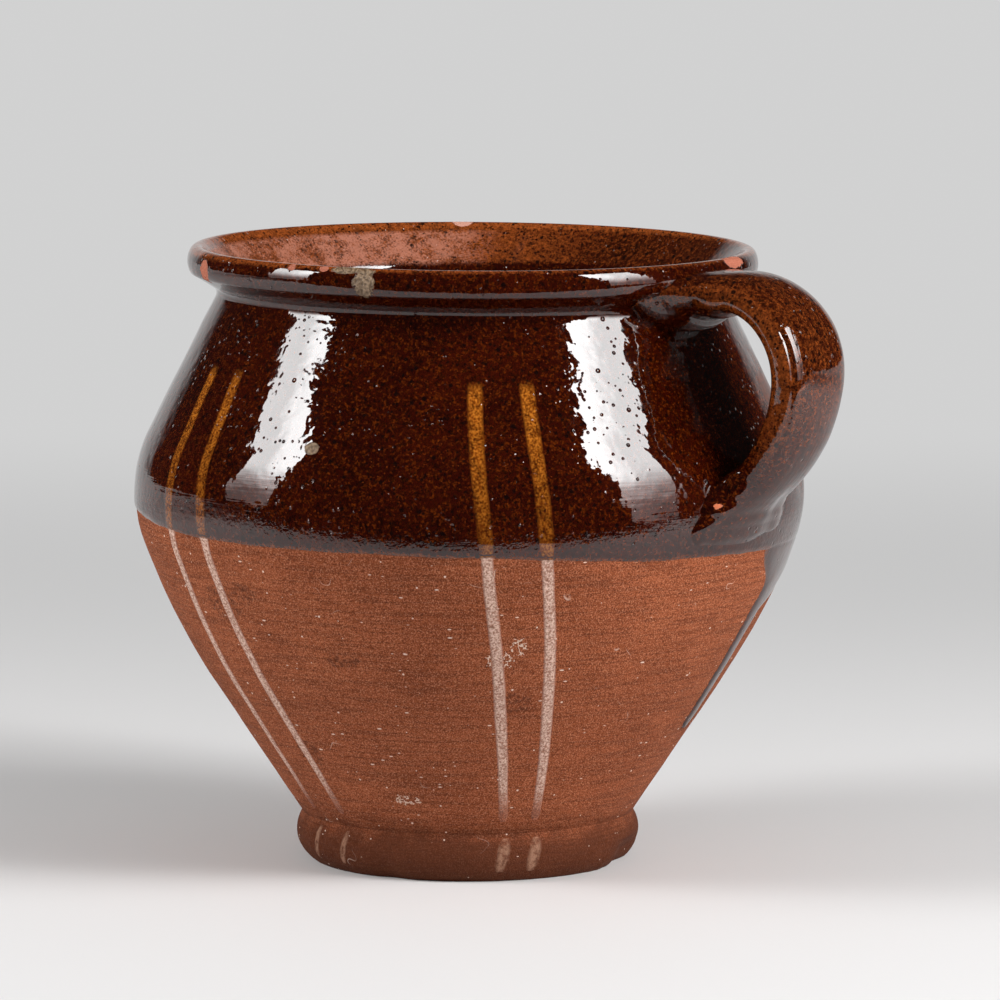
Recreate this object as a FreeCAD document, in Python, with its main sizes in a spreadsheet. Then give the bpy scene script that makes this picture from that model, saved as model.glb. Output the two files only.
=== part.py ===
import FreeCAD, Part
import math
import os
import Sketcher

# A wheel-thrown, one-handled terracotta jar, dipped upside down in a dark glaze to just
# below its belly and decorated with poured pairs of white slip lines.
# The origin is the middle of the foot, +Z is up and +X points at the handle.

V = FreeCAD.Vector
doc = FreeCAD.newDocument("jar")

# Driving sizes in millimetres, and angles in degrees round the jar from the handle.
sizes = {
    # foot
    "foot_radius": 44.5,
    "foot_roll_radius": 9.6,
    "groove_step": 2.4,
    "groove_height": 13.6,
    # outside of the wall: a straight flank, a long arc, a tight belly, a straight shoulder
    "flank_straight": 41.3,
    "belly_turn": 20.8,
    "belly_radius": 94.6,
    "belly_height": 104.5,
    "belly_curve": 39.4,
    "neck_radius": 71.5,
    "shoulder_height": 55.7,
    "neck_curve": 3.0,
    # rim, measured out and up from the neck
    "rim_height": 13.9,
    "ridge_overhang": 7.8,
    "ridge_rise": 6.2,
    "band_curve": 6.0,
    "lip_overhang": 6.2,
    "lip_curve": 1.9,
    # inside of the wall
    "throat_inset": 4.9,
    "throat_drop": 0.2,
    "throat_curve": 4.0,
    "wall_thickness": 6.0,
    "floor_thickness": 7.5,
    "floor_curve": 16.0,
    # handle strap: its middle line runs level out of the rim, round a bend and down
    "strap_width": 28.0,
    "strap_crown": 6.0,
    "strap_underside": 4.8,
    "strap_edge_drop": 0.5,
    "strap_edge_inset": 1.2,
    "strap_root_inset": 3.5,
    "strap_rise": 5.7,
    "strap_overhang": 18.2,
    "strap_bend": 22.0,
    "strap_lower_bend": 39.8,
    "strap_lower_angle": 50.0,
    "strap_tail": 12.0,
    # clay worked round the top of the strap, out from the neck and down from the strap
    "collar_root_inset": 7.5,
    "collar_root_spread": 24.5,
    "collar_root_depth": 9.0,
    "collar_root_drop": 5.4,
    "collar_waist_overhang": 10.5,
    "collar_waist_spread": 18.0,
    "collar_waist_depth": 7.4,
    "collar_waist_drop": 1.3,
    "collar_tip_overhang": 25.5,
    "collar_tip_spread": 11.0,
    "collar_tip_depth": 3.4,
    "collar_tip_drop": 1.4,
    # clay spread over the belly at the bottom of the strap, down from the strap's reach
    "pad_top_overhang": 10.4,
    "pad_top_spread": 10.5,
    "pad_top_depth": 3.0,
    "pad_top_drop": 19.9,
    "pad_waist_inset": 3.6,
    "pad_waist_spread": 16.5,
    "pad_waist_depth": 10.3,
    "pad_waist_drop": 29.9,
    "pad_foot_inset": 3.6,
    "pad_foot_spread": 21.0,
    "pad_foot_depth": 7.6,
    "pad_foot_drop": 39.9,
    "pad_tip_inset": 6.1,
    "pad_tip_spread": 24.0,
    "pad_tip_depth": 6.0,
    "pad_tip_drop": 49.4,
    # glaze: the dipping line is a tilted plane
    "glaze_thickness": 0.5,
    "glaze_line_drop": 8.9,
    "glaze_line_tilt": 2.4,
    "glaze_low_side_angle": 50.0,
    "run_angle": 14.0,
    "run_width": 9.0,
    "run_length": 54.6,
    # poured slip lines, in pairs, numbered clockwise from the handle as seen from above
    "slip_thickness": 0.3,
    "slip_width": 3.6,
    "slip_end_width": 2.0,
    "slip_top_drop": 16.2,
    "slip_tip_rise": 3.9,
    "slip_top_angle_1": -44.3,
    "slip_tip_angle_1": -33.0,
    "slip_top_angle_2": -54.3,
    "slip_tip_angle_2": -43.8,
    "slip_top_angle_3": -107.5,
    "slip_tip_angle_3": -100.0,
    "slip_top_angle_4": -116.5,
    "slip_tip_angle_4": -115.0,
    "slip_top_angle_5": -174.0,
    "slip_tip_angle_5": -170.0,
    "slip_top_angle_6": -184.5,
    "slip_tip_angle_6": -182.0,
    "slip_top_angle_7": 118.0,
    "slip_tip_angle_7": 121.0,
    "slip_top_angle_8": 108.5,
    "slip_tip_angle_8": 110.0,
    "slip_top_angle_9": 51.5,
    "slip_tip_angle_9": 54.0,
    "slip_top_angle_10": 42.0,
    "slip_tip_angle_10": 47.0,
    # where each slip line carries on over the foot
    "dab_top_drop": 1.2,
    "dab_tip_height": 3.0,
    "dab_width": 4.4,
    # how far the blade that cuts out a slip line stands into and out of the wall
    "blade_reach": 5.0,
}

# Sizes that follow from the ones above.
following = {
    "groove_radius": "foot_radius + groove_step",
    "neck_height": "belly_height + shoulder_height",
    "jar_height": "neck_height + rim_height",
    "ridge_radius": "neck_radius + ridge_overhang",
    "ridge_height": "neck_height + ridge_rise",
    "lip_centre_radius": "neck_radius + lip_overhang",
    "throat_radius": "neck_radius - throat_inset",
    "throat_height": "neck_height - throat_drop",
    "strap_root_radius": "neck_radius - strap_root_inset",
    "strap_level": "neck_height + strap_rise",
    "strap_reach": "belly_radius + strap_overhang",
    "strap_reach_height": "strap_level - strap_bend",
    "collar_root_radius": "neck_radius - collar_root_inset",
    "collar_root_height": "strap_level - collar_root_drop",
    "collar_waist_radius": "neck_radius + collar_waist_overhang",
    "collar_waist_height": "strap_level - collar_waist_drop",
    "collar_tip_radius": "neck_radius + collar_tip_overhang",
    "collar_tip_height": "strap_level - collar_tip_drop",
    "pad_top_radius": "belly_radius + pad_top_overhang",
    "pad_top_height": "strap_reach_height - pad_top_drop",
    "pad_waist_radius": "belly_radius - pad_waist_inset",
    "pad_waist_height": "strap_reach_height - pad_waist_drop",
    "pad_foot_radius": "belly_radius - pad_foot_inset",
    "pad_foot_height": "strap_reach_height - pad_foot_drop",
    "pad_tip_radius": "belly_radius - pad_tip_inset",
    "pad_tip_height": "strap_reach_height - pad_tip_drop",
    "glaze_line_height": "belly_height - glaze_line_drop",
    "run_tip_height": "glaze_line_height - run_length",
    "slip_top_height": "neck_height - slip_top_drop",
    "slip_tip_height": "groove_height + slip_tip_rise",
    "dab_top_height": "groove_height - dab_top_drop",
}
slip_lines = range(1, 11)
slip_bend = 1.6  # a slip line runs straight at first and sways more and more
blade_steps = 9

sheet = doc.addObject("Spreadsheet::Sheet", "Sizes")
cells = {name: str(value) for name, value in sizes.items()}
cells.update({name: "=" + rule for name, rule in following.items()})
for row, (name, content) in enumerate(cells.items(), start=1):
    sheet.set("A%d" % row, name)
    sheet.set("B%d" % row, content)
    sheet.setAlias("B%d" % row, name)
doc.recompute()


def size(name):
    return float(sheet.get(name))


def bind(item, prop, expression):
    """Tie a property to the sheet; names in the expression are the sheet's aliases."""
    words = expression.split()
    item.setExpression(prop, " ".join("Sizes." + w if w in cells else w for w in words))


# Points of the outline, with the radius as x and the height as y

def polar(length, angle):
    return V(length * math.cos(angle), length * math.sin(angle), 0)


def tangent_line(centre_a, radius_a, centre_b, radius_b):
    """End points of the line that touches two circles, and the angle of its normal.
    A radius below zero puts that circle on the other side of the line."""
    across = centre_b - centre_a
    normal = math.atan2(across.y, across.x)
    normal -= math.acos((radius_a - radius_b) / across.Length)
    return centre_a + polar(radius_a, normal), centre_b + polar(radius_b, normal), normal


def arc_centre(start, end, radius):
    """Centre of the arc that runs anticlockwise from start to end."""
    chord = end - start
    rise = math.sqrt(radius ** 2 - (chord.Length / 2) ** 2)
    left = V(-chord.y, chord.x, 0).normalize()
    return (start + end) * 0.5 + left * rise


def touching_centre(point, radius, centre_b, radius_b):
    """Centre of the arc that starts at a point and ends inside, touching a circle."""
    across = centre_b - point
    reach = radius - radius_b
    along = (radius ** 2 - reach ** 2 + across.Length ** 2) / (2 * across.Length)
    left = V(-across.y, across.x, 0).normalize()
    return point + across.normalize() * along + left * math.sqrt(radius ** 2 - along ** 2)


def line_then_arc(start, straight, end, end_normal):
    """Where a straight line from a start hands over to the arc that ends, with a given
    normal, at a point: the handover, the normal of the line and the arc's centre."""
    across = end - start
    back = polar(1, end_normal - math.pi / 2)
    cosine = -across.dot(back) / across.Length
    reach = (across.Length ** 2 - straight ** 2) / (2 * (straight + across.Length * cosine))
    corner = end + back * reach
    heading = (corner - start).normalize()
    normal = math.atan2(heading.y, heading.x) - math.pi / 2
    radius = reach / math.tan((end_normal - normal) / 2)
    return start + heading * straight, normal, end - polar(radius, end_normal)


belly_centre = V(size("belly_radius") - size("belly_curve"), size("belly_height"), 0)
belly_turn = -math.radians(size("belly_turn"))
neck_centre = V(size("neck_radius") + size("neck_curve"), size("neck_height"), 0)
lip_centre = V(size("lip_centre_radius"), size("jar_height") - size("lip_curve"), 0)
throat_centre = V(size("throat_radius") + size("throat_curve"), size("throat_height"), 0)

foot_edge = V(size("foot_radius"), 0, 0)
groove = V(size("groove_radius"), size("groove_height"), 0)
ridge = V(size("ridge_radius"), size("ridge_height"), 0)
flank_top = belly_centre + polar(size("belly_curve"), belly_turn)
flank_low, flank_normal, flank_centre = line_then_arc(
    groove, size("flank_straight"), flank_top, belly_turn)
flank_curve = (flank_top - flank_centre).Length
in_belly_curve = size("belly_curve") - size("wall_thickness")
in_flank_curve = flank_curve - size("wall_thickness")
belly_top, neck_low, _ = tangent_line(
    belly_centre, size("belly_curve"), neck_centre, -size("neck_curve"))
neck_top, _, _ = tangent_line(neck_centre, -size("neck_curve"), ridge, 0)
foot_centre = arc_centre(foot_edge, groove, size("foot_roll_radius"))
band_centre = touching_centre(ridge, size("band_curve"), lip_centre, size("lip_curve"))
band_top = band_centre + (lip_centre - band_centre).normalize() * size("band_curve")
lip_inner, throat_top, _ = tangent_line(
    lip_centre, size("lip_curve"), throat_centre, size("throat_curve"))
in_belly_top, throat_low, _ = tangent_line(
    belly_centre, in_belly_curve, throat_centre, -size("throat_curve"))
in_belly_low = belly_centre + polar(in_belly_curve, belly_turn)
in_flank_low = flank_centre + polar(in_flank_curve, flank_normal)
floor_centre = V(0, size("floor_thickness") + size("floor_curve"), 0)
out = polar(1, flank_normal)
floor_centre.x = ((in_flank_low - floor_centre).dot(out) - size("floor_curve")) / out.x
floor_top = floor_centre + polar(size("floor_curve"), flank_normal)
floor_edge = V(floor_centre.x, size("floor_thickness"), 0)
axis_foot = V(0, 0, 0)
axis_floor = V(0, size("floor_thickness"), 0)
axis_mouth = V(0, lip_inner.y, 0)


# Sketching

def start_sketch(body, name, role):
    plane = [item for item in body.Origin.OriginFeatures if item.Role == role][0]
    sketch = body.newObject("Sketcher::SketchObject", name)
    sketch.AttachmentSupport = (plane, [""])
    sketch.MapMode = "FlatFace"
    return sketch


def add_line(sketch, start, end):
    """Draw a line; the answer is its number and the numbers of its start and its end."""
    return sketch.addGeometry(Part.LineSegment(start, end)), 1, 2


def add_arc(sketch, centre, start, end, clockwise=False):
    """Draw an arc from start to end round a centre, as add_line draws a line."""
    first, last = (end, start) if clockwise else (start, end)
    circle = Part.Circle(centre, V(0, 0, 1), (start - centre).Length)
    angles = [math.atan2(p.y - centre.y, p.x - centre.x) for p in (first, last)]
    number = sketch.addGeometry(Part.ArcOfCircle(circle, *angles))
    return (number, 2, 1) if clockwise else (number, 1, 2)


def hold(sketch, *rule):
    return sketch.addConstraint(Sketcher.Constraint(*rule))


def join(sketch, kind, *pieces):
    """Make each piece run into the next: Coincident at a corner, Tangent if smooth."""
    for one, other in zip(pieces, pieces[1:]):
        hold(sketch, kind, one[0], one[2], other[0], other[1])


def drawn_size(sketch, kind, where):
    """The size of a dimension as it is drawn, before the sheet sets it."""
    if kind == "Radius":
        return sketch.Geometry[where[0]].Radius
    start = sketch.getPoint(*where[:2])
    if len(where) == 3:
        edge = sketch.Geometry[where[2]].toShape()
        return edge.distToShape(Part.Vertex(start))[0]
    across = sketch.getPoint(*where[2:]) - start
    return {"DistanceX": across.x, "DistanceY": across.y, "Distance": across.Length}[kind]


def dimension(sketch, expression, kind, *where):
    """Add a driving dimension and tie it to the sheet."""
    number = hold(sketch, kind, *where, drawn_size(sketch, kind, where))
    bind(sketch, "Constraints[%d]" % number, expression)


def place(sketch, radius, height, *point):
    """Hold a point at a radius from the axis and a height over the foot."""
    dimension(sketch, radius, "DistanceX", -1, 1, *point)
    dimension(sketch, height, "DistanceY", -1, 1, *point)


# Booleans between objects of the document

def combine(kind, name, base, tool):
    """Cut is the base without the tool, and Common is the base inside the tool."""
    result = doc.addObject("Part::" + kind, name)
    result.Base = base
    result.Tool = tool
    return result


def fuse(name, shapes):
    result = doc.addObject("Part::MultiFuse", name)
    result.Shapes = shapes
    return result


def grow(name, source, thickness):
    """The source with a layer of even thickness all over it."""
    result = doc.addObject("Part::Offset", name)
    result.Source = source
    result.Mode = "Skin"
    result.Join = "Arc"
    bind(result, "Value", thickness)
    return result


# The thrown wall, and the same jar filled solid, which trims what is joined to its outside

def draw_outside(sketch):
    """Draw the outline from the axis under the foot, up and over the lip."""
    foot_base = add_line(sketch, axis_foot, foot_edge)
    foot_roll = add_arc(sketch, foot_centre, foot_edge, groove)
    low_wall = add_line(sketch, groove, flank_low)
    flank = add_arc(sketch, flank_centre, flank_low, flank_top)
    belly = add_arc(sketch, belly_centre, flank_top, belly_top)
    shoulder = add_line(sketch, belly_top, neck_low)
    neck = add_arc(sketch, neck_centre, neck_low, neck_top, clockwise=True)
    under_rim = add_line(sketch, neck_top, ridge)
    band = add_arc(sketch, band_centre, ridge, band_top)
    lip = add_arc(sketch, lip_centre, band_top, lip_inner)
    join(sketch, "Coincident", foot_base, foot_roll, low_wall)
    join(sketch, "Tangent", low_wall, flank, belly, shoulder, neck, under_rim)
    join(sketch, "Coincident", under_rim, band)
    join(sketch, "Tangent", band, lip)
    hold(sketch, "Coincident", foot_base[0], 1, -1, 1)
    hold(sketch, "Horizontal", foot_base[0])
    dimension(sketch, "foot_radius", "DistanceX", -1, 1, foot_base[0], 2)
    dimension(sketch, "foot_roll_radius", "Radius", foot_roll[0])
    place(sketch, "groove_radius", "groove_height", low_wall[0], 1)
    dimension(sketch, "flank_straight", "Distance", low_wall[0], 1, low_wall[0], 2)
    dimension(sketch, "belly_curve * sin( belly_turn * 1 deg )",
              "DistanceY", belly[0], 1, belly[0], 3)
    dimension(sketch, "belly_curve", "Radius", belly[0])
    place(sketch, "belly_radius - belly_curve", "belly_height", belly[0], 3)
    dimension(sketch, "neck_curve", "Radius", neck[0])
    place(sketch, "neck_radius + neck_curve", "neck_height", neck[0], 3)
    place(sketch, "ridge_radius", "ridge_height", band[0], 1)
    dimension(sketch, "band_curve", "Radius", band[0])
    dimension(sketch, "lip_curve", "Radius", lip[0])
    place(sketch, "lip_centre_radius", "jar_height - lip_curve", lip[0], 3)
    return foot_base, low_wall, flank, belly, lip


def close_inside(sketch, foot_base, low_wall, flank, belly, lip):
    """Close the outline down the inside, one wall away from the outside."""
    slope = add_line(sketch, lip_inner, throat_top)
    throat = add_arc(sketch, throat_centre, throat_top, throat_low)
    in_shoulder = add_line(sketch, throat_low, in_belly_top)
    in_belly = add_arc(sketch, belly_centre, in_belly_top, in_belly_low, clockwise=True)
    in_flank = add_arc(sketch, flank_centre, in_belly_low, in_flank_low, clockwise=True)
    in_wall = add_line(sketch, in_flank_low, floor_top)
    corner = add_arc(sketch, floor_centre, floor_top, floor_edge, clockwise=True)
    floor = add_line(sketch, floor_edge, axis_floor)
    axis = add_line(sketch, axis_floor, axis_foot)
    join(sketch, "Tangent", lip, slope, throat, in_shoulder, in_belly, in_flank)
    join(sketch, "Tangent", in_flank, in_wall, corner, floor)
    join(sketch, "Coincident", floor, axis, foot_base)
    hold(sketch, "Horizontal", floor[0])
    hold(sketch, "Vertical", axis[0])
    hold(sketch, "Coincident", in_belly[0], 3, belly[0], 3)
    hold(sketch, "Coincident", in_flank[0], 3, flank[0], 3)
    hold(sketch, "Parallel", in_wall[0], low_wall[0])
    dimension(sketch, "throat_curve", "Radius", throat[0])
    place(sketch, "throat_radius + throat_curve", "throat_height", throat[0], 3)
    dimension(sketch, "belly_curve - wall_thickness", "Radius", in_belly[0])
    dimension(sketch, "floor_curve", "Radius", corner[0])
    dimension(sketch, "floor_thickness", "DistanceY", -1, 1, floor[0], 2)


def close_over_mouth(sketch, foot_base, low_wall, flank, belly, lip):
    """Close the outline straight across the mouth, from where the lip turns inward.
    That point hangs on the slope inside, which isn't drawn here, so it is given."""
    cover = add_line(sketch, lip_inner, axis_mouth)
    axis = add_line(sketch, axis_mouth, axis_foot)
    join(sketch, "Coincident", lip, cover, axis, foot_base)
    hold(sketch, "Horizontal", cover[0])
    hold(sketch, "Vertical", axis[0])
    hold(sketch, "DistanceX", lip[0], 2, lip[0], 3, lip_centre.x - lip_inner.x)


def turn_on_wheel(name, close):
    """Turn the outline round the axis as one body."""
    body = doc.addObject("PartDesign::Body", name)
    outline = start_sketch(body, name + "_outline", "XZ_Plane")
    close(outline, *draw_outside(outline))
    turned = body.newObject("PartDesign::Revolution", name + "_turned")
    turned.Profile = outline
    turned.ReferenceAxis = (outline, ["V_Axis"])
    turned.Angle = 360
    return body


thrown_body = turn_on_wheel("thrown_body", close_inside)
filled_jar = turn_on_wheel("filled_jar", close_over_mouth)


# The handle: a pulled strap with a crowned back, and the clay that joins it to the wall

bend_centre = V(size("strap_reach") - size("strap_bend"), size("strap_reach_height"), 0)
bend_start = V(bend_centre.x, size("strap_level"), 0)
bend_end = V(size("strap_reach"), bend_centre.y, 0)
lower_centre = V(size("strap_reach") - size("strap_lower_bend"), bend_centre.y, 0)
lower_turn = math.radians(-size("strap_lower_angle"))
lower_end = lower_centre + polar(size("strap_lower_bend"), lower_turn)
tail_heading = lower_turn - math.pi / 2
tail_end = lower_end + polar(size("strap_tail"), tail_heading)


def draw_strap_path(sketch):
    level = add_line(sketch, V(size("strap_root_radius"), size("strap_level"), 0), bend_start)
    bend = add_arc(sketch, bend_centre, bend_start, bend_end, clockwise=True)
    lower = add_arc(sketch, lower_centre, bend_end, lower_end, clockwise=True)
    tail = add_line(sketch, lower_end, tail_end)
    join(sketch, "Tangent", level, bend, lower, tail)
    hold(sketch, "Horizontal", level[0])
    hold(sketch, "Horizontal", bend[0], 1, bend[0], 3)
    place(sketch, "strap_root_radius", "strap_level", level[0], 1)
    place(sketch, "strap_reach", "strap_reach_height", bend[0], 1)
    dimension(sketch, "strap_lower_bend", "Radius", lower[0])
    dimension(sketch, "strap_tail", "Distance", tail[0], 1, tail[0], 2)
    angle = hold(sketch, "Angle", tail[0], tail_heading)
    bind(sketch, "Constraints[%d]" % angle, "( 0 - 90 - strap_lower_angle ) * 1 deg")


def draw_strap_section(sketch, skin):
    """Draw the strap's section; skin is 0, or a layer that grows it all round."""
    layer = size(skin) if skin != "0" else 0
    half = size("strap_width") / 2 + layer
    half_below = half - size("strap_edge_inset")
    edge = -size("strap_edge_drop")
    below = -size("strap_underside") - layer
    peak = V(0, size("strap_crown") + layer, 0)
    back = Part.Arc(V(half, edge, 0), peak, V(-half, edge, 0))
    crown = (sketch.addGeometry(back), 1, 2)
    left = add_line(sketch, V(-half, edge, 0), V(-half_below, below, 0))
    under = add_line(sketch, V(-half_below, below, 0), V(half_below, below, 0))
    right = add_line(sketch, V(half_below, below, 0), V(half, edge, 0))
    join(sketch, "Coincident", crown, left, under, right, crown)
    top = sketch.addGeometry(Part.Point(peak), True)
    hold(sketch, "PointOnObject", top, 1, -2)
    hold(sketch, "PointOnObject", top, 1, crown[0])
    hold(sketch, "Symmetric", crown[0], 1, crown[0], 2, -2)
    hold(sketch, "Symmetric", under[0], 1, under[0], 2, -2)
    dimension(sketch, "strap_crown + " + skin, "DistanceY", -1, 1, top, 1)
    dimension(sketch, "strap_width / 2 + " + skin, "DistanceX", -1, 1, crown[0], 1)
    dimension(sketch, "strap_edge_drop", "DistanceY", crown[0], 1, -1, 1)
    dimension(sketch, "strap_underside + " + skin, "DistanceY", under[0], 2, -1, 1)
    dimension(sketch, "strap_width / 2 - strap_edge_inset + " + skin,
              "DistanceX", -1, 1, under[0], 2)


def pull_strap(name, skin="0"):
    """Draw the section down along the path as one body."""
    body = doc.addObject("PartDesign::Body", name)
    path = start_sketch(body, name + "_path", "XZ_Plane")
    draw_strap_path(path)
    section = start_sketch(body, name + "_section", "YZ_Plane")
    draw_strap_section(section, skin)
    bind(section, "AttachmentOffset.Base.z", "strap_root_radius")
    bind(section, "AttachmentOffset.Base.y", "strap_level")
    doc.recompute()
    pulled = body.newObject("PartDesign::AdditivePipe", name + "_pulled")
    pulled.Profile = section
    pulled.Spine = (path, ["Edge1", "Edge2", "Edge3", "Edge4"])
    return body


def work_clay(name, stations, turn, skin="0"):
    """Clay worked smooth through a row of oval stations, each turned the same way.
    The skin is 0, or a layer that grows them all round."""
    ovals = []
    for station in stations:
        oval = doc.addObject("Part::Ellipse", "%s_%s" % (name, station))
        bind(oval, "MajorRadius", station + "_spread + " + skin)
        bind(oval, "MinorRadius", station + "_depth + " + skin)
        oval.Placement.Rotation = turn
        bind(oval, "Placement.Base.x", station + "_radius")
        bind(oval, "Placement.Base.z", station + "_height")
        ovals.append(oval)
    worked = doc.addObject("Part::Loft", name)
    worked.Sections = ovals
    worked.Solid = True
    return worked


collar_stations = ["collar_root", "collar_waist", "collar_tip"]
pad_stations = ["pad_top", "pad_waist", "pad_foot", "pad_tip"]
upright = FreeCAD.Rotation(V(1, 1, 1), 120)
lying = FreeCAD.Rotation(V(0, 0, 1), 90)

strap = pull_strap("strap")
collar = work_clay("collar", collar_stations, upright)
pad = work_clay("pad", pad_stations, lying)
handle_clay = fuse("handle_clay", [strap, collar, pad])
filled_clay = fuse("filled_clay", [handle_clay, filled_jar])
strap_handle = combine("Cut", "strap_handle", strap, filled_jar)
collar_outside = combine("Cut", "collar_outside", collar, filled_jar)
upper_joint_clay = combine("Cut", "upper_joint_clay", collar_outside, strap)
pad_outside = combine("Cut", "pad_outside", pad, filled_jar)
lower_joint_clay = combine("Cut", "lower_joint_clay", pad_outside, strap)


# The slip lines: each is what an upright blade, standing out from the axis, cuts off a thin
# layer over the wall

def wall_radius(height):
    """Outer radius at a height below the neck; the foot counts as straight."""
    if height < groove.y:
        return foot_edge.x
    if flank_low.y < height < flank_top.y:
        side = height - flank_centre.y
        return flank_centre.x + math.sqrt(flank_curve ** 2 - side ** 2)
    if flank_top.y <= height < belly_top.y:
        side = height - belly_centre.y
        return belly_centre.x + math.sqrt(size("belly_curve") ** 2 - side ** 2)
    low, top = (groove, flank_low) if height <= flank_low.y else (belly_top, neck_low)
    return low.x + (top.x - low.x) * (height - low.y) / (top.y - low.y)


def blade_rung(height, angle, width):
    """A level rectangle across the wall, at an angle round the jar."""
    inner = wall_radius(height) - size("blade_reach")
    outer = wall_radius(height) + size("blade_reach")
    half = width / 2
    corners = [V(inner, -half, height), V(outer, -half, height),
               V(outer, half, height), V(inner, half, height)]
    rung = Part.makePolygon(corners + corners[:1])
    rung.rotate(V(0, 0, 0), V(0, 0, 1), angle)
    return rung


def slip_blade(top, tip, top_angle, tip_angle, width):
    """A blade that narrows at both ends and sways aside on its way down."""
    rungs = []
    for step in range(blade_steps + 1):
        share = step / blade_steps
        angle = top_angle + (tip_angle - top_angle) * share ** slip_bend
        at_end = step in (0, blade_steps)
        rungs.append(blade_rung(top + (tip - top) * share, angle,
                                size("slip_end_width") if at_end else width))
    return Part.makeLoft(rungs, True, True)


slip_jar = grow("slip_jar", filled_jar, "slip_thickness")
slip_layer = combine("Cut", "slip_layer", slip_jar, filled_jar)
pourings = []
dab_blades = []
for number in slip_lines:
    top_angle = size("slip_top_angle_%d" % number)
    tip_angle = size("slip_tip_angle_%d" % number)
    blade = doc.addObject("Part::Feature", "slip_blade_%d" % number)
    blade.Shape = slip_blade(size("slip_top_height"), size("slip_tip_height"),
                             top_angle, tip_angle, size("slip_width"))
    pourings.append(combine("Common", "slip_line_%d" % number, slip_layer, blade))
    dab_blades.append(slip_blade(size("dab_top_height"), size("dab_tip_height"),
                                 tip_angle, tip_angle, size("dab_width")))
all_dab_blades = doc.addObject("Part::Feature", "dab_blades")
all_dab_blades.Shape = Part.makeCompound(dab_blades)
foot_dabs = combine("Common", "foot_dabs", slip_layer, all_dab_blades)


# The glaze: an even coat on everything above the dipping line, and a run below it

def draw_run(sketch):
    """Draw the run as seen from outside: a straight tongue with a round tip."""
    half = size("run_width") / 2
    top = size("glaze_line_height") + size("run_width")
    round_centre = V(0, size("run_tip_height") + half, 0)
    left_low = round_centre - V(half, 0, 0)
    right_low = round_centre + V(half, 0, 0)
    tip = add_arc(sketch, round_centre, left_low, right_low)
    right = add_line(sketch, right_low, V(half, top, 0))
    over = add_line(sketch, V(half, top, 0), V(-half, top, 0))
    left = add_line(sketch, V(-half, top, 0), left_low)
    join(sketch, "Tangent", left, tip, right)
    join(sketch, "Coincident", right, over, left)
    hold(sketch, "PointOnObject", tip[0], 3, -2)
    hold(sketch, "Horizontal", over[0])
    hold(sketch, "Vertical", right[0])
    dimension(sketch, "run_width / 2", "Radius", tip[0])
    dimension(sketch, "run_tip_height + run_width / 2", "DistanceY", -1, 1, tip[0], 3)
    dimension(sketch, "glaze_line_height + run_width", "DistanceY", -1, 1, over[0], 1)


glazed_zone = doc.addObject("Part::Cylinder", "glazed_zone")
bind(glazed_zone, "Radius", "belly_radius * 2")
bind(glazed_zone, "Height", "jar_height")
low_side = math.radians(size("glaze_low_side_angle"))
tilt_axis = V(-math.sin(low_side), math.cos(low_side), 0)
glazed_zone.Placement.Rotation = FreeCAD.Rotation(tilt_axis, size("glaze_line_tilt"))
bind(glazed_zone, "Placement.Base.z", "glaze_line_height")

run_blade = doc.addObject("PartDesign::Body", "run_blade")
run_outline = start_sketch(run_blade, "run_outline", "YZ_Plane")
draw_run(run_outline)
doc.recompute()
run_reach = run_blade.newObject("PartDesign::Pad", "run_reach")
run_reach.Profile = run_outline
bind(run_reach, "Length", "belly_radius * 2")
run_blade.Placement.Rotation = FreeCAD.Rotation(V(0, 0, 1), size("run_angle"))

glazed_jar = grow("glazed_jar", thrown_body, "glaze_thickness")
coat = combine("Cut", "coat", glazed_jar, thrown_body)
inner_glaze = combine("Common", "inner_glaze", coat, filled_jar)
outer_coat = combine("Cut", "outer_coat", coat, filled_jar)
dipped_coat = combine("Common", "dipped_coat", outer_coat, glazed_zone)
under_glaze = fuse("under_glaze", [handle_clay] + pourings)
outer_glaze = combine("Cut", "outer_glaze", dipped_coat, under_glaze)
bare_zone_coat = combine("Cut", "bare_zone_coat", outer_coat, glazed_zone)
run_coat = combine("Common", "run_coat", bare_zone_coat, run_blade)
glaze_run = combine("Cut", "glaze_run", run_coat, under_glaze)
wall_glaze = fuse("wall_glaze", [outer_glaze, glaze_run])

glazed_strap = pull_strap("glazed_strap", "glaze_thickness")
glazed_collar = work_clay("glazed_collar", collar_stations, upright, "glaze_thickness")
glazed_pad = work_clay("glazed_pad", pad_stations, lying, "glaze_thickness")
glazed_handle = fuse("glazed_handle", [glazed_strap, glazed_collar, glazed_pad])
handle_coat = combine("Cut", "handle_coat", glazed_handle, filled_clay)
handle_glaze = combine("Cut", "handle_glaze", handle_coat, wall_glaze)

pieces = [thrown_body, strap_handle, upper_joint_clay, lower_joint_clay, inner_glaze,
          outer_glaze, handle_glaze, glaze_run, foot_dabs] + pourings
for piece in pieces:
    piece.Label = piece.Name
doc.recompute()

for item in doc.Objects:
    if "Invalid" in item.State or "Error" in item.State:
        raise RuntimeError("%s did not build: %s" % (item.Name, item.State))
for piece in pieces:
    if piece.Shape.isNull() or not piece.Shape.isValid():
        raise RuntimeError("%s has no valid shape" % piece.Label)

os.makedirs("parts", exist_ok=True)
for piece in pieces:
    piece.Shape.exportStep("parts/%s.step" % piece.Label)
    print(piece.Label, len(piece.Shape.Solids), "solids,",
          round(piece.Shape.Volume / 1000, 2), "cm3")
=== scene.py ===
# %% [markdown]
# # A glazed terracotta jar
# The jar was thrown on a wheel, got a pulled strap for a handle, had pairs of white slip
# lines trailed down it, and was held by its foot and dipped upside down in a lead glaze.
# The imported model is loaded first. It holds every piece at its real size.

# %% Load the frame
import bisect
import bmesh
import bpy
import math
from mathutils import Matrix, Vector, noise


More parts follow.
